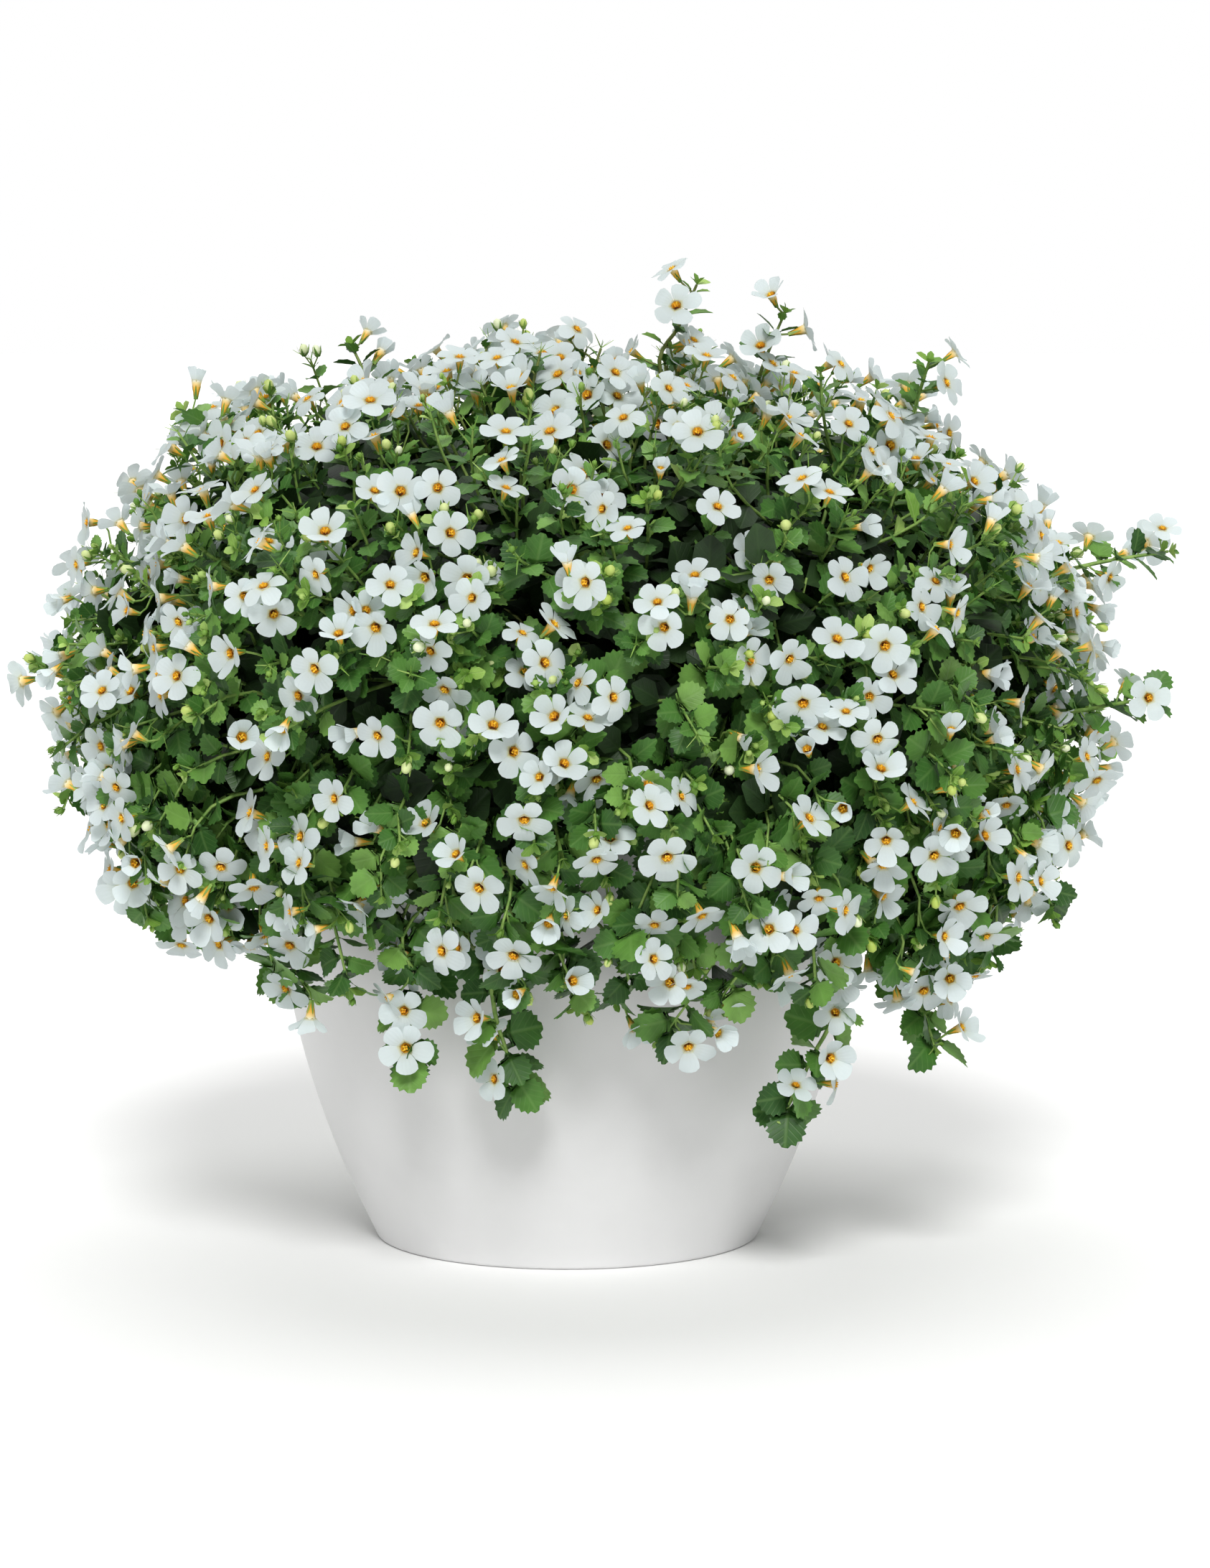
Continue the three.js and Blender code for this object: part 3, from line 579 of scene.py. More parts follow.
def make_soil(peat, perlite):
    """The potting mix: a crumbly top over a plain filling, with perlite grains pressed in."""
    edge = pot_radius(SOIL_EDGE) - WALL - SOIL_GAP
    profile = [(0, FLOOR + SOIL_GAP)]
    for height in [FLOOR + SOIL_GAP] + [20 * MM * i for i in range(1, 10)] + [SOIL_EDGE]:
        profile.append((pot_radius(height) - WALL - SOIL_GAP, height))
    profile += [(edge * i / 40, soil_height(edge * i / 40)) for i in range(39, -1, -1)]
    bm = turned(profile, SOIL_STEPS)
    for vert in bm.verts:
        radius = vert.co.xy.length
        if vert.co.z > SOIL_EDGE - 2 * MM and radius < edge - 2 * MM:
            lumps = noise.noise(vert.co / (7 * MM)) + 0.5 * noise.noise(vert.co / (3 * MM))
            vert.co.z += SOIL_LUMPS * lumps
    toss = dice(77)
    for _ in range(PERLITE_GRAINS):
        radius, turn = (edge - 4 * MM) * math.sqrt(toss()), toss(0, 2 * math.pi)
        size = toss(0.8, 2.2) * MM
        place = Matrix.Translation((radius * math.cos(turn), radius * math.sin(turn),
                                    soil_height(radius) + 0.4 * size))
        squash = Matrix.Diagonal((1, toss(0.6, 1), toss(0.5, 0.9), 1))
        grain = bmesh.ops.create_icosphere(
            bm, subdivisions=1, radius=size, matrix=place @ Matrix.Rotation(toss(0, 6), 4, "X") @ squash)
        for face in faces_of(grain["verts"]):
            face.material_index = PERLITE
    for face in bm.faces:
        face.smooth = face.material_index == PEAT
    make_piece("crumbly_potting_mix", bm, [peat, perlite], ["potting_soil"])


def polar(radius, azimuth, height):
    """A point, or a direction, by its distance from the Z axis, azimuth in radians and height."""
    return Vector((radius * math.cos(azimuth), radius * math.sin(azimuth), height))


def across(axis):
    """Two directions square to an axis, which make a right-handed frame with it."""
    helper = Z if abs(axis.z) < 0.9 else Vector((1, 0, 0))
    first = helper.cross(axis).normalized()
    return first, axis.cross(first)


def square_to(axis, turn):
    """The direction square to an axis that is turned about it by an angle in radians."""
    first, second = across(axis)
    return first * math.cos(turn) + second * math.sin(turn)


def astray(axis, reach, toss):
    """A random step square to an axis, up to a reach each way in both directions."""
    first, second = across(axis)
    return first * toss(-reach, reach) + second * toss(-reach, reach)


def crown_profile():
    """Radius and height along the crown from its top to its hem, and the area passed at each."""
    profile = []
    for i in range(CROWN_STEPS + 1):
        angle = i / CROWN_STEPS * math.pi / 2
        profile.append((
            CROWN_RADIUS * math.sin(angle) ** (2 / DOME_POWER),
            CROWN_MIDDLE + CROWN_RISE * max(0, math.cos(angle)) ** (2 / DOME_POWER)))
    for i in range(1, CROWN_STEPS + 1):
        angle = i / CROWN_STEPS * HEM_END
        profile.append((
            HEM_RADIUS + (CROWN_RADIUS - HEM_RADIUS) * math.cos(angle) ** (2 / HEM_POWER),
            CROWN_MIDDLE - HEM_FALL * math.sin(angle) ** (2 / HEM_POWER)))
    area = [0]
    for (r0, z0), (r1, z1) in zip(profile, profile[1:]):
        area.append(area[-1] + (r0 + r1) * math.hypot(r1 - r0, z1 - z0))
    return profile, area


CROWN, CROWN_AREA = crown_profile()


def crown_at(share, azimuth):
    """The crown's point, outward and downward directions at a share of its area and an azimuth."""
    wanted = share * CROWN_AREA[-1]
    i = max(1, next(k for k, value in enumerate(CROWN_AREA) if value >= wanted))
    part = (wanted - CROWN_AREA[i - 1]) / (CROWN_AREA[i] - CROWN_AREA[i - 1])
    (r0, z0), (r1, z1) = CROWN[i - 1], CROWN[i]
    lump = (1 + WIDE_LOBE * math.sin(2 * azimuth + 0.2)
            + TALL_LOBE * math.sin(3 * azimuth + z0 / TALL_LOBE_RISE + 1.1)
            + FINE_LOBE * math.sin(5 * azimuth - z0 / FINE_LOBE_RISE + 0.2))
    height = z0 + (z1 - z0) * part
    below = min(0, height - CROWN_MIDDLE)
    sway = HEM_SWAY * math.cos(azimuth + HEM_TURN) - HEM_LIFT
    point = polar((r0 + (r1 - r0) * part) * lump, azimuth, height + below * sway)
    point.x += CROWN_X
    out = polar(z0 - z1, azimuth, r1 - r0).normalized()
    down = polar(r1 - r0, azimuth, z1 - z0).normalized()
    return SimpleNamespace(point=point, out=out, down=down, share=share, azimuth=azimuth)


def carried_spots():
    """The spots that the solid model carries its blooms, leaves and leading tips on."""
    spots = []
    for i in range(CARRIED):
        toss = dice(i)
        spot = crown_at((i + 0.5) / CARRIED, i * GOLDEN_ANGLE)
        spot.point += astray(spot.out, CARRIED_ASTRAY, toss)
        spot.point += spot.out * toss(*CARRIED_DEPTHS)
        spot.kind = "bloom" if toss() < BLOOM_SHARE else "leaf"
        spot.seed = i
        toss = dice(i + 5000)
        # The solid model leans the foot of its stalk by the first number, which isn't needed here
        toss()
        axis = spot.out + astray(spot.out, CARRIED_LEAN, toss) + Z * CARRIED_LOOK_UP
        spot.axis = look_aside(spot, axis.normalized())
        spots.append(spot)
    for tip in LEADERS:
        tip = Vector(tip) * MM
        free = [spot for spot in spots if spot.kind != "leader"]
        nearest = min(free, key=lambda spot: (spot.point - tip).length)
        nearest.kind = "leader"
        nearest.tip = tip
    for spot in spots:
        if spot.kind != "leader":
            spot.point += spot.out * CARRIED_RISE * tuftiness(spot.point)
            spot.point.z -= TOP_SINK * topness(spot)
    return spots


def topness(spot):
    """How near a spot is to the crown's top, from 1 there to 0 at the shoulder."""
    return max(0, 1 - spot.share / TOP_SHARE)


def look_aside(spot, axis):
    """A bloom's axis, turned towards the horizon where it stands on the crown's top."""
    top = topness(spot)
    return (axis * (1 - 0.45 * top) + polar(0.6 * top, spot.azimuth, 0.1 * top)).normalized()


def tuftiness(point):
    """How far a place is on one of the crown's tufts, from about -0.6 between them to 0.6."""
    return noise.noise(point / TUFT_WIDTH)


def between_spots(taken):
    """Further spots in the gaps of the carried ones, a little deeper in the crown."""
    spots = []
    places = [spot.point for spot in taken]
    toss = dice(9001)
    for i in range(BETWEEN_TRIES):
        if len(spots) == BETWEEN:
            break
        spot = crown_at(toss(0.001, 0.999), toss(0, 2 * math.pi))
        crest = tuftiness(spot.point)
        spot.point += spot.out * (toss(*BETWEEN_DEPTHS) + TUFT_RISE * crest)
        spot.point.z -= TOP_SINK * topness(spot)
        if spot.share > THIN_HEM and toss() < 1 - HEM_KEPT:
            continue
        if min((place - spot.point).length for place in places) < BETWEEN_SPACE:
            continue
        axis = spot.out + astray(spot.out, BETWEEN_LEAN, toss) + Z * BETWEEN_LOOK_UP
        spot.axis = look_aside(spot, axis.normalized())
        spot.kind = "bloom" if toss() < BETWEEN_BLOOMS + CREST_BLOOMS * crest else "leaf"
        spot.seed = 20000 + i
        spots.append(spot)
        places.append(spot.point)
    return spots


def plan_shoots():
    """Every shoot with the spots that are nearest to it."""
    shoots = []
    for i in range(SHOOTS):
        shoot = crown_at((i + 0.5) / SHOOTS, i * GOLDEN_ANGLE + SHOOT_TURN)
        shoot.spots = []
        shoot.name = f"{i + 1:02d}"
        shoot.seed = 700 + i
        shoots.append(shoot)
    carried = carried_spots()
    for spot in carried + between_spots(carried):
        nearest = min(shoots, key=lambda shoot: (shoot.point - spot.point).length)
        nearest.spots.append(spot)
    return shoots


def mapped_bmesh():
    """An empty bmesh with the surface map that the materials read."""
    bm = bmesh.new()
    bm.loops.layers.uv.new("surface")
    return bm


def leaf_template(name, teeth, width, bite, fold, droop, wave=0.0, index=WAXY):
    """One leaf a unit long along +Y with its face to +Z: a slim stalk, then a rounded blade
    folded at its rib, with blunt teeth that point forwards."""
    rows = 2 * teeth + 2
    bm = mapped_bmesh()
    bmesh.ops.create_grid(bm, x_segments=2, y_segments=rows, size=1)
    for vert in bm.verts:
        side, row = round(vert.co.x), round((vert.co.y + 1) / 2 * rows)
        turn = math.pi * (BLADE_FOOT - BLADE_SWEEP * (row - 1) / (rows - 1))
        reach = 1 - bite * (row % 2)
        half = width / 2 * reach * math.sin(turn)
        along = 1 - BLADE_HALF + BLADE_HALF * reach * math.cos(turn)
        if row == 0:
            half, along = STALK_HALF, 0
        elif side == 0:
            along = 1.0 if row == rows else along - 0.3 * half
        rise = fold * half * abs(side) - droop * along ** 2
        rise += wave * abs(side) * math.sin(7 * along + 2 * side)
        vert.co = Vector((half * side, along, rise))
    dress_faces(bm.faces, index)
    layer = bm.loops.layers.uv.active
    for face in bm.faces:
        for loop in face.loops:
            loop[layer].uv = (0.5 + loop.vert.co.x / width, loop.vert.co.y)
    return as_mesh(name, bm)


def level_uv(bm, faces, low, high):
    """Lays the map of some faces by their height, from 0 at the low end to 1 at the high end."""
    layer = bm.loops.layers.uv.active
    for face in faces:
        for loop in face.loops:
            loop[layer].uv = (0.5, (loop.vert.co.z - low) / (high - low))


def funnel(bm, rings, index, cap_low=False):
    """A round wall through rings of (radius, height), from low to high, open at its top."""
    last_r, last_z = rings[0]
    start = bmesh.ops.create_circle(bm, cap_ends=cap_low, radius=last_r, segments=TUBE_SIDES,
                                    matrix=Matrix.Translation((0, 0, last_z)))["verts"]
    made = list(faces_of(start))
    edges = list({edge for vert in start for edge in vert.link_edges})
    for radius, height in rings[1:]:
        grown = bmesh.ops.extrude_edge_only(bm, edges=edges)["geom"]
        verts = [part for part in grown if isinstance(part, bmesh.types.BMVert)]
        made += [part for part in grown if isinstance(part, bmesh.types.BMFace)]
        edges = [part for part in grown if isinstance(part, bmesh.types.BMEdge)
                 and all(vert in verts for vert in part.verts)]
        scale = radius / last_r
        for vert in verts:
            vert.co.x *= scale
            vert.co.y *= scale
            vert.co.z += height - last_z
        last_r, last_z = radius, height
    dress_faces(made, index)
    level_uv(bm, made, rings[0][1], rings[-1][1])


def raise_petal(bm, turn, reach, half, lift, bend, curl, cup, twist):
    """One petal as a small grid: joined to its neighbours round the throat, free and spoon
    shaped from the notch outwards, with a round end."""
    grid = bmesh.ops.create_grid(bm, x_segments=3, y_segments=4, size=1, calc_uvs=True)["verts"]
    span = reach - THROAT_RADIUS
    notch = NOTCH_SHARE * reach
    for vert in grid:
        side, step = vert.co.x, (vert.co.y + 1) / 2
        run = span * step ** 0.8 * (1 - 0.08 * side * side * step ** 3)
        y = THROAT_RADIUS + run * math.cos(lift)
        z = run * math.sin(lift) - THROAT_DIP * math.exp(-run / THROAT_FADE)
        swell = half * math.sin(math.pi / 2 * min(1, (THROAT_RADIUS + run) / (WIDEST_SHARE * reach)))
        width = min(y * JOINED, swell) * (1 - END_NARROWING * max(0, (step - 0.75) / 0.25) ** 2)
        over = max(0, THROAT_RADIUS + run - notch)
        loose = over / (reach - notch)
        z += over * (math.sin(bend) + curl * loose + twist * side) + cup * width * side * side * loose
        y -= over * (1 - math.cos(bend))
        vert.co = Matrix.Rotation(turn, 3, "Z") @ Vector((width * side, y, z))
    dress_faces(faces_of(grid), PETAL)


def bloom_template(name, seed, reach=1.0, lift=3, curl=-0.03, cup=0.08, slack=1.0):
    """One bloom with its mouth at the origin and facing +Z: petals, throat, anthers and funnel."""
    toss = dice(seed)
    bm = mapped_bmesh()
    for i in range(PETALS):
        fullness = reach * (UPPER_SIZE if i in UPPER_PETALS else 1.0)
        raise_petal(
            bm,
            turn=math.radians(360 / PETALS * i + 36 + slack * toss(-3, 3)),
            reach=PETAL_REACH * fullness * toss(0.93, 1.05),
            half=PETAL_HALF * fullness * toss(0.92, 1.08),
            lift=math.radians(lift),
            bend=math.radians(slack * toss(-16, 14)),
            curl=curl + slack * toss(-0.12, 0.08),
            cup=cup + slack * toss(-0.1, 0.16),
            twist=slack * toss(-0.22, 0.22))
    funnel(bm, FUNNEL_RINGS, FUNNEL)
    funnel(bm, THROAT_RINGS, THROAT, cap_low=True)
    for i in range(ANTHERS):
        turn = Matrix.Rotation(math.radians(360 / ANTHERS * i + 45), 4, "Z")
        place = turn @ Matrix.Translation((0.8 * MM, 0, -0.55 * MM)) @ Matrix.Rotation(0.4, 4, "Y")
        sac = bmesh.ops.create_cone(bm, cap_ends=True, segments=3, radius1=0.62 * MM,
                                    radius2=0.2 * MM, depth=1.3 * MM, matrix=place)["verts"]
        dress_faces(faces_of(sac), ANTHER, smooth=False)
    return as_mesh(name, bm)


def raise_sepals(bm, count, section):
    """A ring of slim sepals, up along +Z. Their section gives half their width, their distance from
    the axis and their height, from 0 at their foot to 1 at their tip."""
    for i in range(count):
        grid = bmesh.ops.create_grid(bm, x_segments=1, y_segments=2, size=1, calc_uvs=True)["verts"]
        for vert in grid:
            half, out, height = section((vert.co.y + 1) / 2)
            place = Vector((half * vert.co.x, out, height))
            vert.co = Matrix.Rotation(math.radians(360 / count * i), 3, "Z") @ place
        dress_faces(faces_of(grid), YOUNG)


def calyx_template():
    """Five slim sepals round the foot of a funnel, from the origin up along +Z."""
    bm = mapped_bmesh()
    raise_sepals(bm, 5, lambda along: (
        (0.62 - 0.5 * along ** 2) * MM, (0.75 + 1.3 * along ** 1.5) * MM, (5.6 * along - 0.4) * MM))
    return as_mesh("calyx", bm)


def bud_template(name, girth, index, sepals, sides, rings):
    """A closed bud that stands in short sepals at the origin: a ridged ball drawn to a point."""
    bm = mapped_bmesh()
    ball = bmesh.ops.create_uvsphere(bm, u_segments=sides, v_segments=rings, radius=girth,
                                     matrix=Matrix.Translation((0, 0, 1.1 * girth)))["verts"]
    for vert in ball:
        star = 0.95 + 0.17 * math.cos(5 * math.atan2(vert.co.y, vert.co.x))
        vert.co.x *= star
        vert.co.y *= star
        vert.co.z += 0.35 * max(0, vert.co.z - girth)
    dress_faces(faces_of(ball), index)
    raise_sepals(bm, sepals, lambda along: (
        (0.36 - 0.3 * along ** 2) * girth, (0.3 + 1.1 * along ** 0.7) * girth,
        (2.2 * along ** 1.3 - 0.2) * girth))
    return as_mesh(name, bm)


class Gathering:
    """Copies of small meshes, gathered in one bmesh."""

    def __init__(self):
        self.bm = bmesh.new()

    def put(self, mesh, pose):
        """Adds a copy of a mesh in a pose."""
        copy = mesh.copy()
        copy.transform(pose)
        self.bm.from_mesh(copy)
        bpy.data.meshes.remove(copy)


def tuft_template(name, leaf, sizes, seed):
    """The growing tip of a twig: pairs of young leaves round a point, up along +Z."""
    toss = dice(seed)
    tuft = Gathering()
    for i, (length, lean) in enumerate(sizes):
        turn = 90 * (i // 2) + 180 * (i % 2) + toss(-16, 16)
        pose = Matrix.Rotation(math.radians(turn), 4, "Z")
        pose @= Matrix.Rotation(math.radians(90 - lean + toss(-8, 8)), 4, "X")
        size = length * toss(0.85, 1.15) * MM
        tuft.put(leaf, pose @ Matrix.Diagonal((size, size, size, 1)))
    return as_mesh(name, tuft.bm)


def make_templates():
    """Every small shape that the plant repeats."""
    needle = leaf_template("needle", 0, 0.24, 0, 0.3, 0.05, index=YOUNG)
    small = leaf_template("small_leaf", 1, 0.72, 0, 0.3, 0.12, index=YOUNG)
    return SimpleNamespace(
        round=[leaf_template(f"round_leaf_{i}", 6, width, 0.15, fold, droop, wave)
               for i, (width, fold, droop, wave) in enumerate([
                   (0.94, 0.15, 0.10, 0.02), (0.86, 0.32, 0.2, 0.03), (1.0, 0.06, 0.16, 0.035)])],
        oval=[leaf_template(f"oval_leaf_{i}", 4, width, 0.16, fold, droop, wave)
              for i, (width, fold, droop, wave) in enumerate([
                  (0.72, 0.25, 0.12, 0.02), (0.64, 0.4, 0.22, 0.02), (0.78, 0.12, 0.05, 0.03)])],
        slim=[leaf_template(f"slim_leaf_{i}", 3, width, 0.15, fold, droop, 0.0, index)
              for i, (width, fold, droop, index) in enumerate([
                  (0.56, 0.3, 0.08, WAXY), (0.46, 0.45, 0.2, YOUNG), (0.62, 0.2, 0.14, WAXY)])],
        # The plain leaf wears the dark green of the deep crown, partly painted shade
        plain=[leaf_template("plain_leaf", 1, 0.8, 0, 0.25, 0.15, index=PAINTED_SHADE)],
        spiky=[tuft_template(f"spiky_tuft_{i}", needle, NEEDLES, 40 + i) for i in range(4)],
        leafy=[tuft_template(f"leafy_tuft_{i}", small, SMALL_LEAVES, 50 + i) for i in range(3)],
        calyx=calyx_template(),
        bud=[bud_template("green_bud", 1.6 * MM, YOUNG, sepals=4, sides=5, rings=3),
             bud_template("cream_bud", 2.2 * MM, BUD, sepals=5, sides=10, rings=4)],
        bloom=[bloom_template(f"open_bloom_{i}", 60 + i) for i in range(5)]
        + [bloom_template("cupped_bloom_0", 70, 0.96, 22, 0.05, 0.2),
           bloom_template("cupped_bloom_1", 71, 0.92, 32, 0.02, 0.15),
           bloom_template("reflexed_bloom", 72, 1.0, -12, -0.1, 0.0)],
        half=[bloom_template("half_open_0", 80, 0.8, 52, 0.05, 0.35, 0.8),
              bloom_template("half_open_1", 81, 0.66, 64, -0.02, 0.4, 0.6)],
    )


class Tubes:
    """Stems as one curve with a round section, made a mesh at the end."""

    def __init__(self, fineness):
        self.curve = bpy.data.curves.new("stems", "CURVE")
        self.curve.dimensions = "3D"
        self.curve.bevel_depth = 1.0
        self.curve.bevel_resolution = fineness
        self.curve.use_fill_caps = True

    def lay(self, points, thick, thin):
        """Adds a stem through points, with its radius at its start and at its end."""
        spline = self.curve.splines.new("POLY")
        spline.points.add(len(points) - 1)
        for i, point in enumerate(points):
            spline.points[i].co = (*point, 1)
            spline.points[i].radius = thick + (thin - thick) * i / (len(points) - 1)

    def mesh(self):
        """All stems as one mesh."""
        holder = in_scene("stems", self.curve)
        depsgraph = bpy.context.evaluated_depsgraph_get()
        mesh = bpy.data.meshes.new_from_object(holder.evaluated_get(depsgraph))
        bpy.data.objects.remove(holder)
        for polygon in mesh.polygons:
            polygon.material_index = BARK
        return mesh


def pose_along(origin, along, up, size):
    """Places a leaf: its length along one direction, its face as near to up as it can be."""
    along = along.normalized()
    side = along.cross(up)
    if side.length < 1e-3:
        side = across(along)[0]
    side.normalize()
    up = side.cross(along)
    turn = Matrix((side, along, up)).transposed().to_4x4()
    return Matrix.Translation(origin) @ turn @ Matrix.Diagonal((size, size, size, 1))


def pose_facing(origin, axis, spin, size):
    """Places a bloom, bud or tuft: its +Z along an axis, turned about it."""
    e1, e2 = across(axis)
    turn = Matrix((e1, e2, axis)).transposed().to_4x4()
    return (Matrix.Translation(origin) @ turn @ Matrix.Rotation(spin, 4, "Z")
            @ Matrix.Diagonal((size, size, size, 1)))


def in_pot(point, room):
    """Whether a place is inside the pot's outline or nearer to its wall than some room."""
    return point.z < POT_HEIGHT + room and point.xy.length < pot_radius(point.z) + LIP_PROUD + room


def clear_of_pot(point, room):
    """A place moved outwards until it is clear of the pot's outside."""
    if point.z < POT_HEIGHT + room:
        least = pot_radius(min(point.z, POT_HEIGHT)) + LIP_PROUD + room
        if 0 < point.xy.length < least:
            scale = least / point.xy.length
            return Vector((point.x * scale, point.y * scale, point.z))
    return point


def smooth_path(points):
    """A smooth way through points, by short arcs whose ends share one direction."""
    way = [points[0]]
    slopes = [(points[min(i + 1, len(points) - 1)] - points[max(i - 1, 0)]) / 6
              for i in range(len(points))]
    for i in range(len(points) - 1):
        way += interpolate_bezier(points[i], points[i] + slopes[i], points[i + 1] - slopes[i + 1],
                                  points[i + 1], ARC_STEPS)[1:]
    return way


def main_stem(shoot):
    """A shoot's way from the potting mix to its hub, over the rim where it hangs outside."""
    hub = clear_of_pot(shoot.point - shoot.out * HUB_DEPTH, HUB_CLEAR)
    azimuth = math.atan2(hub.y, hub.x)
    stand = STAND_NEAR + STAND_SPREAD * shoot.share ** STAND_POWER
    top = polar(stand, azimuth, soil_height(stand))
    way = [top - Z * ROOT_DEPTH, top]
    if hub.z < POT_HEIGHT + OVER_RIM:
        passed = RIM_WAY if hub.z < POT_HEIGHT - BELOW_RIM else RIM_WAY[:2]
        way += [polar(RIM_RADIUS + out, azimuth, POT_HEIGHT + up) for out, up in passed]
    else:
        reach = (stand + hub.xy.length) / 2
        way.append(polar(reach, azimuth, (hub.z + SOIL_EDGE) / 2 + 4 * MM))
    way.append(hub)
    return smooth_path(way)


def at_length(path, wanted):
    """The point and direction at a distance along a path."""
    for start, end in zip(path, path[1:]):
        step = (end - start).length
        if wanted <= step or end is path[-1]:
            return start.lerp(end, min(1, wanted / step)), (end - start).normalized()
        wanted -= step


def length_of(path):
    """How long a path is."""
    return sum((end - start).length for start, end in zip(path, path[1:]))


def pick(shapes, toss):
    """One of some shapes, by chance."""
    return shapes[int(toss() * len(shapes))]


def leaf_length(share):
    """Length of a full leaf, by height in the crown: shortest at its sides, longest at the hem."""
    return (13.5 - 3 * share + 6.5 * share ** 2) * MM


def zone_leaf(templates, share, young, toss):
    """A leaf shape for a height in the crown: slim at the top, round towards the hem."""
    low = share * 1.5 - (0.25 if young else 0)
    draw = toss()
    if draw < low - 0.25:
        return templates.round
    return templates.oval if draw < low + 0.4 else templates.slim


def dress_twig(parts, templates, path, spot, toss, full, pairs, leading=False):
    """Leaf pairs along the outer part of a twig, each turned a quarter from the last, and plain
    where they are deep in the crown, in a dark green that is partly painted shade, with fuller
    young ones on a leading tip."""
    length = length_of(path)
    back = FIRST_PAIR
    growth = LEADER_STEP_GROWTH if leading else TWIG_STEP_GROWTH
    spin = toss(0, math.pi)
    tip_size = 0.52 + 0.28 * spot.share + (0.15 if leading else 0)
    for i in range(pairs):
        if back > length - FIRST_PAIR:
            break
        point, ahead = at_length(path, length - back)
        size = full * min(1, tip_size + 0.2 * i) * toss(0.8, 1.12)
        for side in (0, math.pi):
            away = square_to(ahead, spin + side + toss(-0.25, 0.25))
            along = away * 0.95 + ahead * (0.75 - 0.12 * i)
            along -= spot.out * 0.45 * away.dot(spot.out)
            up = spot.out * 0.9 + ahead * 0.2 + Z * 0.3
            up += Vector((toss(-0.55, 0.55), toss(-0.55, 0.55), toss(-0.55, 0.55)))
            span = size * toss(0.88, 1.1)
            if in_pot(point + along.normalized() * span, 1.5 * MM):
                continue
            # Deep pairs take the plain leaf, whose dark green is partly painted shade
            painted_dark = i >= PLAIN_FROM and not leading
            kinds = templates.plain if painted_dark else zone_leaf(templates, spot.share, i < 1, toss)
            parts.leaves.put(pick(kinds, toss), pose_along(point, along, up, span))
        spin += math.pi / 2
        back += (PAIR_STEP + growth * i) * toss(0.85, 1.15)


def grow_bloom(parts, templates, start, ahead, mouth, axis, toss):
    """A bloom on its stalk: stalk, calyx, funnel and petals, half open now and then."""
    shape = pick(templates.bloom if toss() < OPEN_BLOOMS else templates.half, toss)
    size = toss(*BLOOM_SIZES)
    foot = mouth - axis * TUBE_LENGTH * size
    spin = toss(-BLOOM_SPIN, BLOOM_SPIN)
    stalk = interpolate_bezier(start, start + ahead * 4 * MM, foot - axis * 4 * MM, foot, 4)
    parts.tubes.lay(stalk, *STALK_RADII)
    parts.leaves.put(templates.calyx, pose_facing(foot, axis, spin, size))
    parts.blooms.put(shape, pose_facing(mouth, axis, spin, size))


def grow_twig(parts, templates, stem, spot):
    """A twig from the shoot's stem out to a spot of the crown, with leaves, buds and its bloom."""
    toss = dice(spot.seed + 30000)
    droop = min(1, max(0, spot.share - TOP_SHARE) * 1.6)
    ahead = (spot.out * (1 - 0.75 * droop) + spot.down * droop).normalized()
    aside = square_to(spot.out, toss(0, 2 * math.pi))
    if spot.kind == "bloom":
        tip = spot.point - spot.out * toss(5, 13) * MM + aside * toss(6, 11) * MM
    else:
        tip = spot.point + spot.out * toss(-4, 2) * MM
    heading = (ahead + aside * 0.35 + Z * 0.1).normalized()
    start, _ = at_length(stem, length_of(stem) * toss(0.72, 1.0))
    bend = tip - heading * toss(26, 40) * MM
    path = interpolate_bezier(start, start.lerp(bend, 0.5) + spot.out * 4 * MM, bend, tip, 7)
    path = [clear_of_pot(point, 3 * MM) if point.z < POT_HEIGHT else point for point in path]
    parts.tubes.lay(path, *TWIG_RADII)
    pairs = TOP_TWIG_PAIRS if spot.share < TOP_SHARE else TWIG_PAIRS
    dress_twig(parts, templates, path, spot, toss, leaf_length(spot.share), pairs)
    tuft = pick(templates.spiky if toss(0, SPIKY_TIPS) > spot.share else templates.leafy, toss)
    parts.leaves.put(tuft, pose_facing(tip, heading, toss(0, 6), toss(0.75, 1.15)))
    length = length_of(path)
    if spot.kind == "bloom":
        point, along = at_length(path, length - toss(7, 13) * MM)
        grow_bloom(parts, templates, point, along, spot.point, spot.axis, toss)
        if toss() < PAIRED_BLOOMS:
            beside = astray(spot.out, 1, toss).normalized()
            mouth = spot.point + beside * PAIR_SPACE - spot.out * toss(0, 6) * MM
            axis = (spot.axis + beside * 0.6).normalized()
            grow_bloom(parts, templates, point, along, mouth, axis, toss)
    for _ in range(int(toss(*BUDS_A_TWIG))):
        point, along = at_length(path, length - toss(1, 6) * MM)
        place = tip + heading * toss(1, 5) * MM + astray(spot.out, 4 * MM, toss)
        axis = (heading + spot.out * 0.5 + astray(spot.out, 0.6, toss)).normalized()
        parts.tubes.lay([point, place], *BUD_STALK_RADII)
        bud = templates.bud[int(toss() + CREAM_BUDS)]
        parts.leaves.put(bud, pose_facing(place, axis, toss(0, 6), toss(0.75, 1.1)))


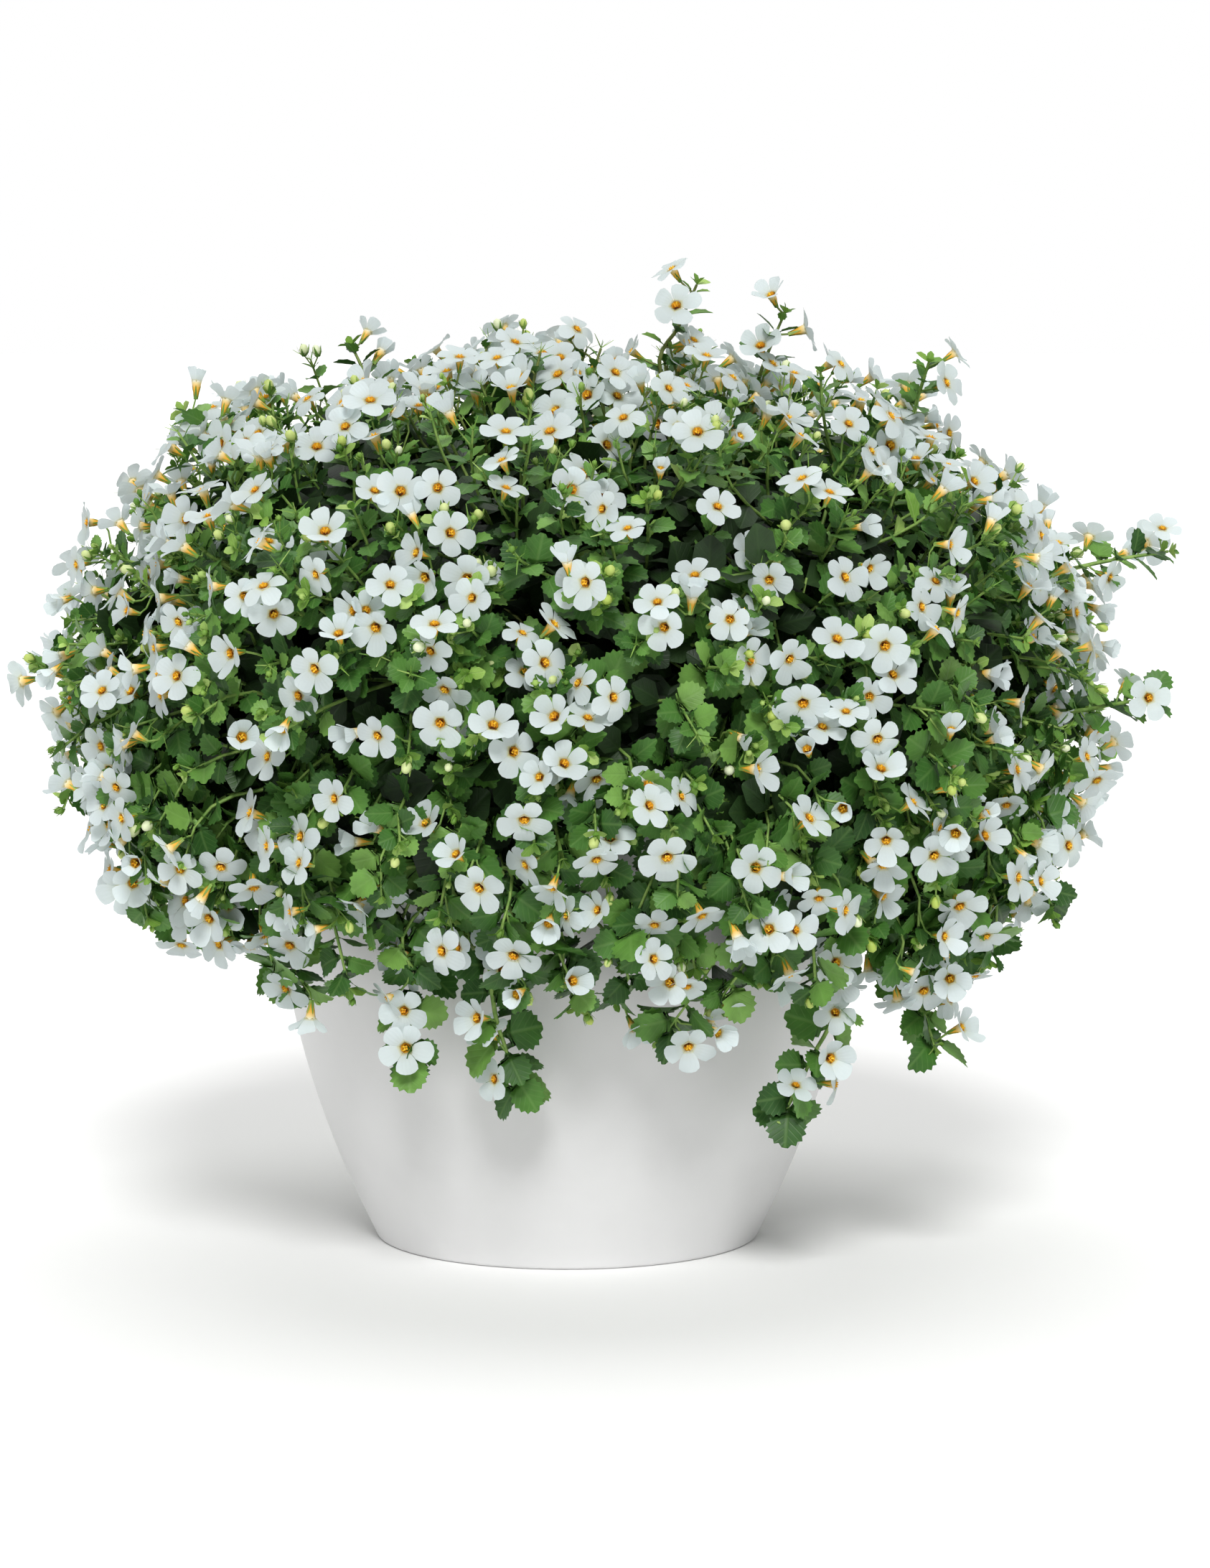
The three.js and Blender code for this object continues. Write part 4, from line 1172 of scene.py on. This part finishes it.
def grow_leader(parts, templates, stem, spot):
    """A leading tip beyond the crown, with leaf pairs, and blooms along its outer part."""
    toss = dice(spot.seed + 40000)
    start, _ = at_length(stem, length_of(stem) * 0.9)
    middle = spot.point - spot.out * 14 * MM
    path = smooth_path([start, middle, middle.lerp(spot.tip, 0.5) + spot.out * 2 * MM, spot.tip])
    parts.tubes.lay(path, *LEADER_RADII)
    heading = (path[-1] - path[-2]).normalized()
    hangs = heading.z < 0
    face = polar(1, spot.azimuth, 0.35) if hangs else spot.out * 0.3 + heading * 0.3 + Z + FRONT * 0.4
    side_on = SimpleNamespace(**{**vars(spot), "out": face.normalized()})
    full = (12.5 + 5 * spot.share) * MM
    dress_twig(parts, templates, path, side_on, toss, full, LEADER_PAIRS, leading=True)
    parts.leaves.put(templates.leafy[0], pose_facing(spot.tip, heading, toss(0, 6), 1.0))
    length = length_of(path)
    back = toss(2, 8) * MM
    while back < length - LEADER_FOOT and back < LEADER_BLOOMING:
        point, along = at_length(path, length - back)
        away = square_to(along, toss(0, 2 * math.pi)) + side_on.out * (1.6 if hangs else 0.6)
        axis = (away.normalized() + along * toss(0, 0.5)).normalized()
        grow_bloom(parts, templates, point, along, point + axis * toss(12, 16) * MM, axis, toss)
        back += toss(9, 18) * MM


def grow_inner(parts, templates, shoot, stem):
    """Short inner twigs with plain leaves in a dark green that is partly painted shade, which
    close the crown from within.
    """
    toss = dice(shoot.seed + 50000)
    length = length_of(stem)
    for _ in range(INNER_TWIGS):
        start, ahead = at_length(stem, length * toss(0.45, 1.0))
        away = square_to(ahead, toss(0, 2 * math.pi)) + ahead * 0.4 + shoot.out * 0.3
        away.normalize()
        end = clear_of_pot(start + away * toss(30, 52) * MM, 6 * MM)
        if end.xy.length < RIM_RADIUS and end.z < POT_HEIGHT + 6 * MM:
            continue
        path = interpolate_bezier(start, start + ahead * 10 * MM, end - away * 12 * MM, end, 5)
        parts.tubes.lay(path, *INNER_RADII)
        # Plain leaves whose dark green is partly painted shade
        for i in range(INNER_PAIRS):
            point, along = at_length(path, length_of(path) * (0.35 + 0.2 * i))
            spin = toss(0, 2 * math.pi)
            for side in (0, math.pi):
                out = square_to(along, spin + side)
                up = shoot.out + Z * 0.5 + Vector((toss(-0.5, 0.5), toss(-0.5, 0.5), 0))
                size = toss(16, 24) * MM
                if not in_pot(point + out * size, 2 * MM):
                    parts.leaves.put(templates.plain[0], pose_along(point, out + along * 0.3, up, size))


def grow_shoot(shoot, templates, leafy, flowering):
    """One shoot as two pieces: its stems, leaves and buds, and its blooms."""
    parts = SimpleNamespace(leaves=Gathering(), blooms=Gathering(), stem=Tubes(1), tubes=Tubes(0))
    stem = main_stem(shoot)
    parts.stem.lay(stem, *STEM_RADII)
    for spot in shoot.spots:
        if spot.kind == "leader":
            grow_leader(parts, templates, stem, spot)
        else:
            grow_twig(parts, templates, stem, spot)
    grow_inner(parts, templates, shoot, stem)
    parts.leaves.bm.from_mesh(parts.stem.mesh())
    parts.leaves.bm.from_mesh(parts.tubes.mesh())
    node = f"shoot_{shoot.name}"
    make_piece(f"leafy_shoot_{shoot.name}", parts.leaves.bm, leafy, [node])
    make_piece(f"blooms_{shoot.name}", parts.blooms.bm, flowering, [node])


def make_floor(material):
    """A wide pale floor round the pot."""
    bm = bmesh.new()
    bmesh.ops.create_circle(bm, cap_ends=True, radius=FLOOR_RADIUS, segments=96)
    mesh = as_mesh("studio_floor", bm)
    mesh.materials.append(material)
    in_scene("studio_floor", mesh)


def add_sun(name, azimuth, elevation, strength, softness):
    """A distant light. Its azimuth, from the front towards the right, its elevation, and its
    softness, the angle that it fills, are in degrees."""
    lamp = bpy.data.lights.new(name, "SUN")
    lamp.energy = strength
    lamp.angle = math.radians(softness)
    turn, rise = math.radians(azimuth), math.radians(elevation)
    back = Vector((math.sin(turn) * math.cos(rise), -math.cos(turn) * math.cos(rise), math.sin(rise)))
    holder = in_scene(name, lamp)
    holder.location = back * 3
    holder.rotation_euler = back.to_track_quat("Z", "Y").to_euler()


def light_studio():
    """A white surround, a soft key light in front and above, and a wide light overhead and a
    little behind, which shines through the upper petals."""
    world = bpy.data.worlds.new("studio")
    world.use_nodes = True
    tree = world.node_tree
    tree.nodes.clear()
    seen = add(tree, "ShaderNodeLightPath").outputs["Is Camera Ray"]
    strength = add(tree, "ShaderNodeMapRange", {"Value": seen, "To Min": SURROUND, "To Max": 1.0})
    sky = add(tree, "ShaderNodeBackground", {
        "Color": linear("#ffffff"), "Strength": strength.outputs[0]})
    add(tree, "ShaderNodeOutputWorld", {"Surface": sky.outputs[0]})
    bpy.context.scene.world = world
    add_sun("key", azimuth=1, elevation=40, strength=2.32, softness=17)
    add_sun("overhead", azimuth=180, elevation=68, strength=1.25, softness=60)


def place_camera():
    """The photograph's view: about level with the crown's top and looking slightly down."""
    camera = bpy.data.cameras.new("front_camera")
    camera.lens = CAMERA_LENS
    camera.clip_end = 100
    holder = in_scene("front_camera", camera)
    holder.location = CAMERA_PLACE
    holder.rotation_euler = (CAMERA_AIM - CAMERA_PLACE).to_track_quat("-Z", "Y").to_euler()
    bpy.context.scene.camera = holder


place_camera()
light_studio()
make_floor(painted_board())
make_pot(moulded_polypropylene())
make_soil(peat_mix(), perlite_foam())

leafy_materials = [
    leaf_tissue("waxy_leaf_blade", [(0.0, "#2b5120"), (0.35, "#3d6a28"), (0.7, "#548335"),
                                    (1.0, "#7ba64f")], "#86ab60", 0.16),
    leaf_tissue("young_leaf_blade", [(0.0, "#5f8d36"), (0.6, "#84ad48"), (1.0, "#b3cf74")],
                "#bcd28e", 0.22),
    stem_bark(),
    bud_tissue(),
    # Deep leaves: a darker green, partly the real colour of older leaves in the crown and partly painted
    # shade, with little light through
    leaf_tissue("painted_shade_leaf_blade", [(0.0, "#182a12"), (0.6, "#22391a"), (1.0, "#2f4a22")],
                "#3a5529", 0.08),
]
bloom_materials = [petal_tissue(), throat_tissue(), funnel_tissue(), anther_meal()]
shapes = make_templates()
for planned in plan_shoots():
    grow_shoot(planned, shapes, leafy_materials, bloom_materials)

bpy.context.scene.view_settings.view_transform = "Standard"
